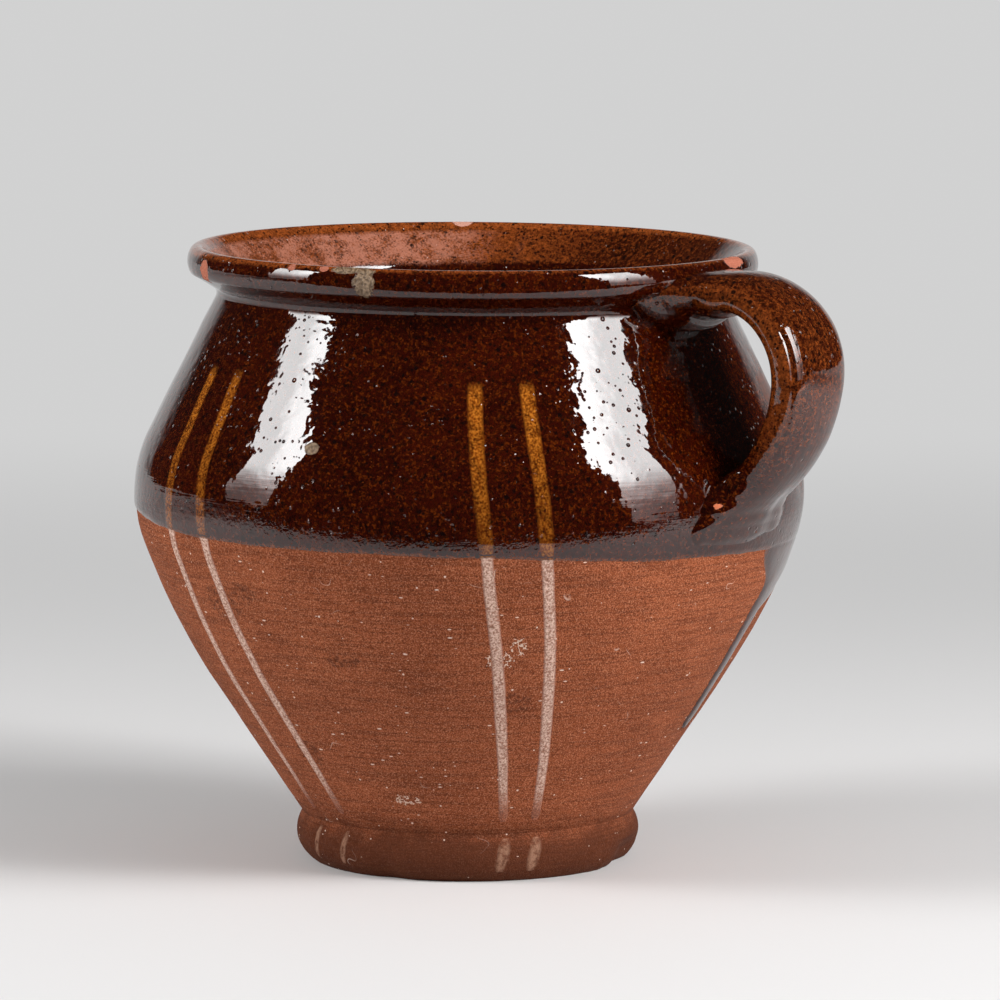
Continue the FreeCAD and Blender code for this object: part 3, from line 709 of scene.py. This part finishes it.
def run_width(share, side):
    ragged = 0.4 * noise.noise(Vector((share * 9, side, 8)))
    spread = table_value(right_edge, share) - table_value(left_edge, share)
    tip = max(0, 1 - max(0, (share - 0.93) / 0.07) ** 2) ** 0.5
    round_wall = wall_radius((run_top - run_length * share) * mm) / mm
    return (math.radians(spread) * round_wall + ragged) * max(tip, 0.12)


def run_thickness(share, side):
    return 0.46 + 0.1 * smooth(share, 0.8, 0.95)

# %% [markdown]
# The strip is joined with the coat: its top sinks under the coat's face, so no seam shows.

# %% Let the glaze run
bm = new_strip()
lay_strip(bm, run_path, run_width, run_thickness, 100, 26, True)
glaze_run = finish("run_of_glaze", bm, ["glaze_run"], "honey_glaze")

# %% [markdown]
# ## The handle
# The strap was pulled from a lump of clay with wet fingers, which leaves a crowned back and
# thin edges. Its top was pressed on the rim, and it was bent over and thumbed out onto the
# belly. It is one ring of points drawn along the strap's middle line. The ring widens where
# the clay is spread over the wall, and wraps round the wall there.

# %% Draw the strap's middle line
bm = bmesh.new()
pen = first = bm.verts.new(point(66, 163.5))
pen = draw_line(bm, pen, point(80, 165.9), 0.9)
pen = draw_line(bm, pen, point(90.8, 165.9), 0.9)
pen = draw_arc(bm, pen, point(90.8, 143.9), point(112.8, 143.9), 0.9)
pen = draw_arc(bm, pen, point(73.0, 143.9), point(98.6, 113.4), 0.9)
pen = draw_arc(bm, pen, point(110.2, 99.6), point(92.2, 100.2), 0.9)
draw_line(bm, pen, point(88.0, 94.0), 0.9)
middle_line, edge, vert = [first.co / mm], None, first
while [e for e in vert.link_edges if e is not edge]:
    edge = next(e for e in vert.link_edges if e is not edge)
    vert = edge.other_vert(vert)
    middle_line.append(vert.co / mm)
bm.free()
lengths = [0.0]
for before, after in zip(middle_line, middle_line[1:]):
    lengths.append(lengths[-1] + (after - before).length)
print("strap:", len(middle_line), "stations over", round(lengths[-1], 1), "mm")

# %% [markdown]
# A pulled strap changes all along its length. The tables give its sizes in mm at places in
# mm along it: half width, crown and underside, how far it wraps round the wall, and how
# square its underside and its two shoulders are.

# %% Give the strap its sizes
half_widths = [(0, 25), (8, 25), (13, 21), (19, 16), (27, 14.4), (50, 15), (75, 14.2),
               (91, 14.0), (96, 16.2), (102, 21.5), (109, 25.6), (115, 26), (130, 24)]
crowns = [(0, 5.0), (14, 5.6), (25, 5.8), (45, 5.3), (80, 5.5), (97, 6.2), (104, 5.6),
          (112, 3.6), (120, 1.3), (130, 0.3)]
undersides = [(0, 11.5), (10, 11.0), (17, 8.0), (27, 5.2), (45, 5.9), (80, 5.8), (90, 5.2),
              (100, 5.5), (130, 4.5)]
wraps = [(0, 1.0), (12, 0.9), (22, 0.0), (90, 0.0), (104, 0.85), (112, 1.0), (130, 1.0)]
undersquares = [(0, 1.7), (13, 1.5), (27, 0.5), (130, 0.5)]
left_squares = [(0, 1.0), (90, 0.9), (102, 0.42), (130, 0.42)]
right_squares = [(0, 1.0), (90, 1.0), (104, 1.7), (130, 1.7)]


def strap_section(angle, place):
    """Side as a share of the half width, and height over the middle line in mm."""
    c, s = math.cos(angle), math.sin(angle)
    if s < 0:
        square = table_value(undersquares, place)
        side = math.copysign(abs(c) ** (0.55 + 0.45 * smooth(square, 0.6, 1.5)), c)
        return side, -table_value(undersides, place) * abs(s) ** square
    side = math.copysign(abs(c) ** 0.85, c)
    square = table_value(left_squares if c < 0 else right_squares, place)
    rise = table_value(crowns, place) * s ** square
    rise -= 0.35 * swell(side, -0.9, 0.03) * smooth(place, 22, 34) * (1 - smooth(place, 88, 98))
    thumbed = smooth(place, 84, 100)
    rise -= thumbed * (0.7 * swell(side, 0.30, 0.2) + 0.4 * swell(side, 0.72, 0.16))
    rise += thumbed * 0.4 * swell(side, -0.86, 0.08)
    return side, rise

# %% [markdown]
# A ring is set square to the middle line. Where the clay was spread on the wall, the ring
# wraps round the wall and ends inside its thickness.

# %% Set a ring along the strap
wrap_radius = 88


def out_of_the_mouth(place):
    """Push a point in mm out until it is inside the wall's thickness, not in the mouth."""
    if place.z < 158:
        least = wall_radius(place.z * mm) / mm - 4.5
    else:
        least = max(68.0, 68.8 + 0.88 * (place.z - 162.1))
    short = max(0, least - place.xy.length)
    place.xy = place.xy * (1 + 0.92 * short / place.xy.length)
    return place


def level_ring(bm, ring, station):
    """Set a ring of points to its place along the strap."""
    before = middle_line[max(station - 1, 0)]
    after = middle_line[min(station + 1, len(middle_line) - 1)]
    heading = (after - before).normalized()
    out = Vector((-heading.z, 0, heading.x))
    place = lengths[station]
    half, wrap = table_value(half_widths, place), table_value(wraps, place)
    for count, vert in enumerate(ring):
        side, rise = strap_section(math.tau * count / len(ring), place)
        y = side * half
        shape = middle_line[station] + out * rise + Vector((0, y, 0))
        shape.x -= wrap * y * y / (2 * wrap_radius)
        vert[along], vert[across] = place, side
        vert.co = out_of_the_mouth(shape) * mm

# %% [markdown]
# The first ring starts a few stations in, where the strap's root is already inside the wall.
# Then the ring is pulled on from station to station, as clay is, and both ends are closed.

# %% Pull the strap
bm = bmesh.new()
along = bm.verts.layers.float.new("along")
across = bm.verts.layers.float.new("across")
ring = bmesh.ops.create_circle(bm, segments=96, radius=1)["verts"]
ring.sort(key=lambda vert: math.atan2(vert.co.y, vert.co.x) % math.tau)
ring_edges = bm.edges[:]
root = 4
level_ring(bm, ring, root)
for station in range(root + 1, len(lengths)):
    pulled = bmesh.ops.extrude_edge_only(bm, edges=ring_edges)["geom"]
    fresh = {part for part in pulled if isinstance(part, bmesh.types.BMVert)}
    ring_edges = [part for part in pulled if isinstance(part, bmesh.types.BMEdge)
                  and part.verts[0] in fresh and part.verts[1] in fresh]
    ring = [next(edge.other_vert(vert) for edge in vert.link_edges
                 if edge.other_vert(vert) in fresh) for vert in ring]
    level_ring(bm, ring, station)
open_edges = [edge for edge in bm.edges if edge.is_boundary]
ends = bmesh.ops.holes_fill(bm, edges=open_edges, sides=0)
for vert in bmesh.ops.poke(bm, faces=ends["faces"])["verts"]:
    vert.co = out_of_the_mouth(vert.co / mm) * mm
handle = finish("pulled_handle", bm, ["strap_handle", "upper_joint_clay", "lower_joint_clay",
                                      "handle_glaze"], "honey_glaze")

# %% [markdown]
# ## The surfaces
# Every finish is worked out in millimetres from the piece's own coordinates, so a speck or
# a throwing line keeps its real size. What more than one finish uses is a node group: a
# small tree that is built once, with named values in and out.

# %% Make and use a node group
def new_group(name, takes, gives):
    """An empty node group with the named kinds of values in and out."""
    tree = bpy.data.node_groups.new(name, "ShaderNodeTree")
    for way, sockets in (("INPUT", takes), ("OUTPUT", gives)):
        for label, kind in sockets.items():
            tree.interface.new_socket(label, in_out=way, socket_type="NodeSocket" + kind)
    nodes = Nodes(tree)
    return nodes, nodes.add("NodeGroupInput").outputs, nodes.add("NodeGroupOutput").inputs


def use_group(nodes, name, **values):
    return nodes.add("ShaderNodeGroup", values, node_tree=bpy.data.node_groups[name]).outputs

# %% [markdown]
# A damaged place is a ragged blob round one point of the pot: chips on the rim, a burst
# blister, a bare patch where the glaze crawled. The points go through the same settling as
# the pieces, so a chip stays on its rim.

# %% Node group: one ragged place
nodes, entry, leave = new_group(
    "ragged_place",
    {"Place": "Vector", "Centre": "Vector", "Size": "Vector", "Ragged": "Float"},
    {"Mask": "Float"})
offset = nodes.vector("SUBTRACT", entry["Place"], entry["Centre"])
distance = nodes.vector("LENGTH", nodes.vector("DIVIDE", offset, entry["Size"]), output="Value")
tear = nodes.math("SUBTRACT", nodes.noise(entry["Place"], 1.6, 3, 0.6), 0.5)
torn = nodes.total(distance, nodes.product(tear, entry["Ragged"]))
nodes.link(nodes.ramp(torn, 1.06, 0.94), leave["Mask"])


def jar_spot(degrees, height, radius):
    """A place in mm on the settled jar, from an angle, a height and a radius."""
    turn = math.radians(degrees)
    ideal = Vector((math.cos(turn) * radius, math.sin(turn) * radius, height)) * mm
    return settle(ideal) / mm


def wall_spot(degrees, height, lift=0.0):
    """The same on the outside of the wall, lifted off it by some mm."""
    return jar_spot(degrees, height, wall_radius(height * mm) / mm + lift)


def ragged_places(nodes, place, spots):
    """One mask for several places, each a centre, a size in mm and a raggedness."""
    masks = [use_group(nodes, "ragged_place", Place=place, Centre=centre, Size=size,
                       Ragged=ragged)["Mask"] for centre, size, ragged in spots]
    return nodes.largest(*masks)

# %% [markdown]
# Lead glaze over red clay is a dark red brown glass. Where it is thin the clay shows through
# orange, and iron in it makes black specks.

# %% Node group: honey glaze, its colour
nodes, entry, leave = new_group(
    "honey_glaze", {"Place": "Vector", "Thin": "Float", "Rings": "Float"},
    {"Color": "Color", "Roughness": "Float", "Height": "Float"})
place = entry["Place"]
near_black = colour(0.004, 0.0006, 0.0003)
clouds = nodes.noise(place, 22, 3, 0.55)
flecks = nodes.noise(place, 1.15, 2, 0.7)
pools = nodes.noise(nodes.vector("ADD", place, (31, 17, 5)), 1.5, 3, 0.65)
grain = nodes.noise(place, 0.5, 2, 0.6)
dark = nodes.mix(nodes.ramp(clouds, 0.3, 0.7), colour(0.019, 0.0014, 0.0004),
                 colour(0.037, 0.0034, 0.0007))
warm = nodes.mix(nodes.ramp(flecks, 0.46, 0.72, 0, 0.74), dark, colour(0.108, 0.0200, 0.0014))
uneven = nodes.product(nodes.math("SUBTRACT", flecks, 0.5), 0.7)
thin_share = nodes.product(nodes.ramp(nodes.total(entry["Thin"], uneven), 0.05, 1.0),
                           nodes.ramp(entry["Thin"], 0, 0.1))
honey = nodes.mix(thin_share, warm, colour(0.42, 0.100, 0.020))
pooled = nodes.mix(nodes.ramp(pools, 0.47, 0.36, 0, 0.85), honey,
                   nodes.mix(0.8, honey, near_black))
fine = nodes.mix(nodes.ramp(grain, 0.34, 0.58, 0.78, 0), pooled,
                 nodes.mix(0.7, pooled, near_black))
lights = nodes.spots(nodes.vector("ADD", place, (3, 9, 4)), 0.9, 0.35, 0.12, 0.34)
fine = nodes.mix(nodes.ramp(lights, 0.1, 0.8, 0, 0.5), fine, colour(0.20, 0.045, 0.006))
large_specks = nodes.ramp(nodes.spots(place, 2.6, 0.7, 0.3, 0.95), 0.1, 0.5)
small_specks = nodes.ramp(nodes.spots(place, 1.3, 0.6, 0.2, 0.62), 0.1, 0.6)
specks = nodes.product(nodes.largest(large_specks, small_specks), 0.9)
nodes.link(nodes.mix(specks, fine, colour(0.003, 0.0012, 0.0013)), leave["Color"])
nodes.link(nodes.ramp(nodes.noise(place, 5, 2), 0.35, 0.75, 0.02, 0.055), leave["Roughness"])

# %% [markdown]
# Gas leaves pits and small blisters in the glaze, and the throwing rings show through it.
# They are what breaks up the edges of every reflection. All heights are in millimetres.

# %% Node group: honey glaze, its relief
level_place = nodes.vector("MULTIPLY", place, (0.05, 0.05, 1.0))
ring_lines = nodes.noise(level_place, 1.1, 2, 0.5)
broad_rings = nodes.noise(level_place, 5, 1, 0.5)
pits = nodes.spots(place, 3.8, 0.5, 0.25, 0.8)
blistered = nodes.ramp(nodes.noise(nodes.vector("ADD", place, (9, 60, 2)), 13, 2), 0.44, 0.60)
blisters = nodes.product(nodes.spots(place, 1.9, 0.75, 0.2, 0.6), blistered)
nodes.link(nodes.total(
    nodes.product(ring_lines, entry["Rings"], 0.045),
    nodes.product(broad_rings, entry["Rings"], 0.05),
    nodes.product(nodes.noise(place, 6.0, 1, 0.4), 0.14),
    nodes.product(nodes.noise(place, 2.3, 1, 0.4), 0.046),
    nodes.product(nodes.ramp(pits, 0, 0.8), -0.20),
    nodes.product(nodes.ramp(blisters, 0, 0.9), 0.17)), leave["Height"])

# %% [markdown]
# Bare terracotta is matte and gritty. The wheel leaves fine level lines, and the clay is darker
# towards the foot.

# %% Node group: terracotta, the clay itself
nodes, entry, leave = new_group(
    "terracotta", {"Place": "Vector"},
    {"Color": "Color", "Roughness": "Float", "Height": "Float"})
place = entry["Place"]
height = nodes.split(place)["Z"]
level_place = nodes.vector("MULTIPLY", place, (0.035, 0.035, 1.0))
fine_lines = nodes.noise(level_place, 0.75, 3, 0.7)
broad_lines = nodes.noise(level_place, 2.4, 2, 0.5)
clouds = nodes.noise(place, 24, 3, 0.55)
grain = nodes.noise(place, 0.38, 1, 0.5)
grit = nodes.noise(place, 1.4, 3, 0.6)
body = nodes.mix(nodes.ramp(clouds, 0.3, 0.7), colour(0.262, 0.068, 0.0240),
                 colour(0.322, 0.088, 0.0330))
lined = nodes.mix(nodes.ramp(fine_lines, 0.40, 0.54, 0.50, 0), body,
                  colour(0.110, 0.026, 0.0095))
grainy = nodes.mix(nodes.ramp(grain, 0.34, 0.52, 0.72, 0), lined, colour(0.085, 0.020, 0.008))
sandy = nodes.mix(nodes.ramp(grain, 0.52, 0.72, 0, 0.52), grainy, colour(0.56, 0.26, 0.15))
patchy = nodes.mix(nodes.ramp(grit, 0.55, 0.72, 0, 0.45), sandy, colour(0.12, 0.033, 0.014))
# Darker towards the bottom: from about 25 mm down to 13 mm the clay colour turns dark brown,
# with a cloudy edge.
foot_darkening = nodes.total(height, nodes.product(nodes.noise(place, 7, 3), 9))
darker_foot = nodes.mix(nodes.ramp(foot_darkening, 25, 13, 0, 0.82), patchy, colour(0.060, 0.0160, 0.0060))
nodes.link(nodes.ramp(grit, 0.3, 0.7, 0.75, 0.95), leave["Roughness"])

# %% [markdown]
# Handling leaves dust in the pores, pale dashes along the wheel's lines, a few hair fine
# scratches and slanting scuffs. They are gathered in one pale mask.

# %% Node group: terracotta, its dust and scratches
dots = nodes.ramp(nodes.spots(place, 2.6, 0.26, 0.12, 0.42), 0.08, 0.35)
dash_place = nodes.vector("MULTIPLY", place, (0.32, 0.32, 1.0))
clusters = nodes.ramp(nodes.noise(place, 10, 2), 0.50, 0.60)
dashes = nodes.product(nodes.spots(dash_place, 1.0, 0.3, 0.10, 0.28), clusters)
dust = nodes.largest(dots, nodes.ramp(dashes, 0.08, 0.4))
wave = nodes.math("ABSOLUTE", nodes.math("SUBTRACT", nodes.noise(place, 9, 1, 0.4), 0.5))
where = nodes.ramp(nodes.noise(nodes.vector("ADD", place, (40, 7, 90)), 11, 1), 0.66, 0.74)
hair = nodes.product(nodes.ramp(wave, 0.006, 0.002), where)
slant = (0, math.radians(-42), math.radians(35))
slanted = nodes.add("ShaderNodeMapping", {"Vector": place, "Rotation": slant,
                                          "Scale": (7, 1, 1)}, vector_type="TEXTURE")
scuff = nodes.ramp(nodes.spots(slanted.outputs["Vector"], 4.5, 0.22, 0.12, 0.34), 0.1, 0.6)
scuff = nodes.product(scuff, nodes.ramp(grit, 0.42, 0.56))
pale = nodes.product(nodes.largest(dust, nodes.largest(nodes.product(hair, 0.5),
                                                       nodes.product(scuff, 0.6))), 0.9)
nodes.link(nodes.mix(pale, darker_foot, colour(0.74, 0.58, 0.48)), leave["Color"])
holes = nodes.spots(place, 3.0, 0.35, 0.15, 0.6)
nodes.link(nodes.total(
    nodes.product(fine_lines, 0.16), nodes.product(broad_lines, 0.10),
    nodes.product(grain, 0.20), nodes.product(grit, 0.22),
    nodes.product(nodes.ramp(holes, 0, 0.6), -0.2), nodes.product(dust, 0.05)),
    leave["Height"])

# %% [markdown]
# Every material starts and ends alike. At its end a colour, a roughness and a height in mm
# feed one shader, and the height becomes relief in a Bump node whose distance is one
# millimetre. The index of refraction sets how strongly the surface mirrors: 1.25 for dusty
# clay, 1.6 for lead glaze.

# %% Start and end a material
clay_ior, glaze_ior = 1.25, 1.6


def new_material(name):
    """A new material, its nodes, and the place on the piece in mm."""
    material = bpy.data.materials.new(name)
    material.use_nodes = True
    nodes = Nodes(material.node_tree)
    return material, nodes, nodes.millimetres()


def put_on(material, pieces, nodes, shade, roughness, ior, height):
    """Feed the material's shader and put the material on its pieces."""
    bump = nodes.add("ShaderNodeBump", {"Distance": mm, "Height": height})
    shader = nodes.add("ShaderNodeBsdfPrincipled", {
        "Base Color": shade, "Roughness": roughness, "IOR": ior,
        "Normal": bump.outputs["Normal"]})
    nodes.add("ShaderNodeOutputMaterial", [shader.outputs["BSDF"]])
    for piece in pieces:
        piece.data.materials.append(material)

# %% [markdown]
# The bare clay is the terracotta group with what happened to this jar: rough pocked places
# where grit was dragged over the wet wall, and pale fibrous smears of slip.

# %% Bare clay
clay, nodes, place = new_material("bare_terracotta")
look = use_group(nodes, "terracotta", Place=place)
rough_place = ragged_places(nodes, place, [
    (wall_spot(-106, 79), (6, 6, 5), 1.6), (wall_spot(-99, 83), (4, 4, 3), 1.6),
    (wall_spot(-100, 36), (4, 4, 4), 1.6), (wall_spot(-45, 54), (4, 4, 3), 1.6),
    (wall_spot(-80, 66), (5, 5, 2), 1.6)])
smeared = ragged_places(nodes, place, [
    (wall_spot(-49.0, 67.0), (4, 4, 2.6), 1.8), (wall_spot(-73, 24), (4, 4, 1.5), 1.8),
    (wall_spot(-45.6, 71.0), (2.4, 2.4, 3.4), 1.8)])
fibre = nodes.math("ABSOLUTE", nodes.math("SUBTRACT", nodes.noise(place, 4.2, 3, 0.7), 0.5))
smear = nodes.product(smeared, nodes.ramp(fibre, 0.034, 0.012), 0.9)
pitted = nodes.ramp(nodes.noise(place, 1.1, 3, 0.6), 0.44, 0.60)
shade = nodes.mix(nodes.product(rough_place, pitted, 0.6), look["Color"],
                  colour(0.075, 0.022, 0.011))
shade = nodes.mix(smear, shade, colour(0.66, 0.50, 0.40))
dents = nodes.product(rough_place, nodes.noise(place, 1.1, 2), -0.5)
put_on(clay, [thrown_wall], nodes, shade, look["Roughness"], clay_ior,
       nodes.total(look["Height"], dents))

# %% [markdown]
# Glaze runs off edges and away from the dipping line, so it is thin and orange on the lip,
# inside the rim at the back left and along the line. Behind the strap it stayed soft and
# dull, because the strap kept the fire's heat off.

# %% Glaze on the pot: where it is thin
def ring_strength(nodes, place):
    """The throwing rings show through the glaze below the shoulder."""
    return nodes.ramp(nodes.split(place)["Z"], 124, 112, 0.12, 1.0)


glaze, nodes, place = new_material("honey_glaze")
inward, over_line = nodes.attribute("inward"), nodes.attribute("above")
height = nodes.split(place)["Z"]
lip = nodes.product(nodes.ramp(height, 171.2, 173.2), 0.58)
back_left = nodes.total(nodes.product(nodes.split(place)["X"], -1),
                        nodes.product(nodes.noise(place, 12, 3, 0.6), 26))
in_rim = nodes.product(inward, nodes.ramp(back_left, 6, 58, 0.24, 0.47),
                       nodes.ramp(height, 162.2, 164.4, 0.05, 1.0))
at_line = nodes.ramp(over_line, 1.8, 0.1, 0, 0.35)
from_strap = nodes.vector("SUBTRACT", place, wall_spot(25, 126))
from_strap = nodes.vector("DIVIDE", from_strap, (30, 22, 36))
sheltered = nodes.total(nodes.vector("LENGTH", from_strap, output="Value"),
                        nodes.product(nodes.noise(place, 9, 3, 0.6), 0.9))
behind_strap = nodes.ramp(sheltered, 1.5, 0.7)
thin = nodes.largest(lip, in_rim, at_line, nodes.product(behind_strap, 0.32))
look = use_group(nodes, "honey_glaze", Place=place, Thin=thin,
                 Rings=ring_strength(nodes, place))

# %% [markdown]
# Chips on the rim are bare orange clay, two places carry a sandy crust that stuck to the
# glaze in the kiln, and the inside of the rim is rubbed dull in one part.

# %% Glaze on the pot: where it is chipped, crusted and rubbed
chipped = ragged_places(nodes, place, [
    (jar_spot(-123, 168.5, 80.0), (3.0, 3.0, 3.4), 0.9),
    (jar_spot(10.0, 172.6, 79.2), (3.0, 6.0, 1.9), 0.7),
    (jar_spot(-93.7, 172.8, 79.0), (1.3, 1.3, 1.1), 1.0),
    (jar_spot(-85.9, 173.0, 79.0), (1.3, 1.3, 0.9), 1.0),
    (wall_spot(-81.5, 91.6, 0.4), (1.0, 1.0, 0.6), 1.0)])
crusted = ragged_places(nodes, place, [
    (jar_spot(-76.8, 170.2, 79.6), (3.2, 3.2, 4.4), 1.5),
    (jar_spot(-81.0, 173.0, 78.6), (4.2, 4.2, 1.2), 1.4),
    (wall_spot(-83.8, 124.8, 0.4), (2.3, 2.3, 1.7), 0.8)])
back_chip = ragged_places(nodes, place, [(jar_spot(127.5, 173.3, 77.5), (3.4, 2.8, 1.2), 0.8)])
bare = nodes.largest(chipped, back_chip, nodes.product(crusted, 0.6))
worn = nodes.product(inward, nodes.ramp(back_left, 40, 66), nodes.ramp(height, 162.2, 164.0),
                     nodes.ramp(height, 172.6, 171.2))
wear = nodes.total(nodes.noise(place, 0.6, 2, 0.7), nodes.noise(place, 5, 3, 0.6))
rubbed = nodes.product(worn, nodes.ramp(wear, 0.82, 1.16, 0, 0.9))

# %% [markdown]
# The layers go over each other from the glaze up. Near the line the coat is uneven from
# running, so the mirrored edge of the table ripples there.

# %% Glaze on the pot: put together
shade = nodes.mix(rubbed, look["Color"], colour(0.40, 0.150, 0.092))
shade = nodes.mix(chipped, shade, colour(0.38, 0.112, 0.060))
shade = nodes.mix(back_chip, shade, colour(0.50, 0.24, 0.17))
crust = nodes.mix(nodes.ramp(nodes.noise(place, 0.8, 2), 0.35, 0.65),
                  colour(0.085, 0.045, 0.018), colour(0.27, 0.18, 0.105))
shade = nodes.mix(crusted, shade, crust)
dull = nodes.largest(nodes.product(worn, 0.6), nodes.product(behind_strap, 0.7))
gloss = nodes.blend(dull, look["Roughness"], 0.5)
relief = nodes.total(
    look["Height"], nodes.product(bare, -0.35),
    nodes.product(nodes.ramp(over_line, 14, 7), nodes.noise(place, 1.2, 2, 0.6), 0.12),
    nodes.product(nodes.total(crusted, bare), nodes.noise(place, 0.8, 2), 0.35),
    nodes.product(worn, nodes.noise(place, 0.6, 2), 0.06))
put_on(glaze, [glaze_coat], nodes, shade, nodes.blend(bare, gloss, 0.85), glaze_ior, relief)

# %% [markdown]
# The run is the same glaze, thin only along its two edges.

# %% Glaze of the run
run_glaze, nodes, place = new_material("run_glaze")
edge = nodes.ramp(nodes.math("ABSOLUTE", nodes.attribute("across")), 0.85, 1, 0.02, 0.4)
look = use_group(nodes, "honey_glaze", Place=place, Thin=edge, Rings=0.15)
put_on(run_glaze, [glaze_run], nodes, look["Color"], look["Roughness"], glaze_ior,
       look["Height"])

# %% [markdown]
# The strap shows its pulling: long soft streaks run along it, the glaze is thinner and more
# orange over its back and edges, and the clay grins through at one nick.

# %% Glaze on the handle
strap_glaze, nodes, place = new_material("strap_glaze")
along, across = nodes.attribute("along"), nodes.attribute("across")
pulled_place = nodes.add("ShaderNodeCombineXYZ", [nodes.product(along, 0.08),
                                                  nodes.product(across, 13)])
streaks = nodes.noise(pulled_place.outputs["Vector"], 1.6, 3, 0.6)
edge = nodes.product(nodes.ramp(nodes.math("ABSOLUTE", across), 0.86, 0.97),
                     nodes.ramp(along, 92, 80, 0, 0.15))
over_back = nodes.math("MINIMUM", nodes.ramp(along, 96, 62, 0.10, 0.32),
                       nodes.ramp(along, 14, 32, 0.14, 0.38))
thin = nodes.total(nodes.product(nodes.ramp(streaks, 0.2, 0.8, 0.6, 1.0), over_back), edge)
look = use_group(nodes, "honey_glaze", Place=place, Thin=thin, Rings=0.0)
nick = ragged_places(nodes, place, [(wall_spot(-10.9, 107.8, 2.8), (1.8, 1.8, 1.1), 1.0)])
put_on(strap_glaze, [handle], nodes,
       nodes.mix(nick, look["Color"], colour(0.55, 0.14, 0.05)),
       nodes.blend(nick, look["Roughness"], 0.8), glaze_ior,
       nodes.total(look["Height"], nodes.product(streaks, 0.10)))

# %% [markdown]
# Slip is thin white clay. Under the glaze it turns honey yellow, patchy where it was thin
# and the dark glaze took it up. On bare clay it dries to a chalky cream that lets the red
# through.

# %% Slip under the glaze
slip, nodes, place = new_material("poured_slip")
across, along = nodes.attribute("across"), nodes.attribute("along")
under = use_group(nodes, "honey_glaze", Place=place, Thin=0.0,
                  Rings=ring_strength(nodes, place))
side = nodes.math("ABSOLUTE", across)
cloud = nodes.noise(place, 2.2, 3, 0.6)
speckle = nodes.noise(place, 0.6, 2, 0.6)
from_middle = nodes.product(side, nodes.ramp(along, 0.30, 0.39, 3.1, 1.93))
strength = nodes.product(nodes.ramp(along, 0.02, 0.40, 0.74, 0.32),
                         nodes.ramp(along, 0.0, 0.03))
cover_glazed = nodes.product(
    nodes.ramp(nodes.total(from_middle, speckle), 2.9, 1.9),
    nodes.ramp(nodes.total(cloud, nodes.product(speckle, 0.6)), 0.5, 1.0, 0.15, 1.15),
    strength)
honey = nodes.mix(nodes.ramp(speckle, 0.35, 0.7), colour(0.22, 0.050, 0.004),
                  colour(0.60, 0.200, 0.020))
yellow = nodes.mix(cover_glazed, under["Color"], honey)

# %% [markdown]
# Bare slip fades at the sides of a line and at its end. One mask, the height over the dipping
# line, chooses between the two looks.

# %% Slip on bare clay
on_clay = use_group(nodes, "terracotta", Place=place)
faded_end = nodes.total(along, nodes.product(cloud, 0.06))
cover_bare = nodes.product(
    nodes.ramp(faded_end, 1.025, 0.93),
    nodes.ramp(nodes.total(side, nodes.product(speckle, 0.5)), 1.25, 0.8),
    nodes.ramp(nodes.total(cloud, nodes.product(speckle, 0.8)), 0.55, 1.0, 0.45, 1.0))
cream = nodes.mix(nodes.ramp(speckle, 0.36, 0.62), colour(0.30, 0.15, 0.10),
                  colour(0.66, 0.45, 0.36))
chalk = nodes.mix(cover_bare, on_clay["Color"], cream)
glazed = nodes.ramp(nodes.attribute("above"), -0.2, 0.5)
put_on(slip, slips, nodes, nodes.mix(glazed, chalk, yellow),
       nodes.blend(glazed, 0.8, under["Roughness"]), glaze_ior,
       nodes.blend(glazed, on_clay["Height"], under["Height"]))

# %% [markdown]
# On the foot only a thin rubbed film of slip is left.

# %% Slip on the foot
foot_slip, nodes, place = new_material("foot_slip")
on_clay = use_group(nodes, "terracotta", Place=place)
side = nodes.math("ABSOLUTE", nodes.attribute("across"))
cloud = nodes.noise(place, 2.0, 3, 0.65)
cover = nodes.product(nodes.ramp(nodes.total(side, nodes.product(cloud, 0.7)), 1.3, 0.7),
                      nodes.ramp(cloud, 0.35, 0.62, 0.1, 0.7))
put_on(foot_slip, [dabs], nodes, nodes.mix(cover, on_clay["Color"], colour(0.36, 0.20, 0.13)),
       on_clay["Roughness"], clay_ior, on_clay["Height"])
print(len(bpy.data.node_groups), "node groups and", len(bpy.data.materials), "materials")
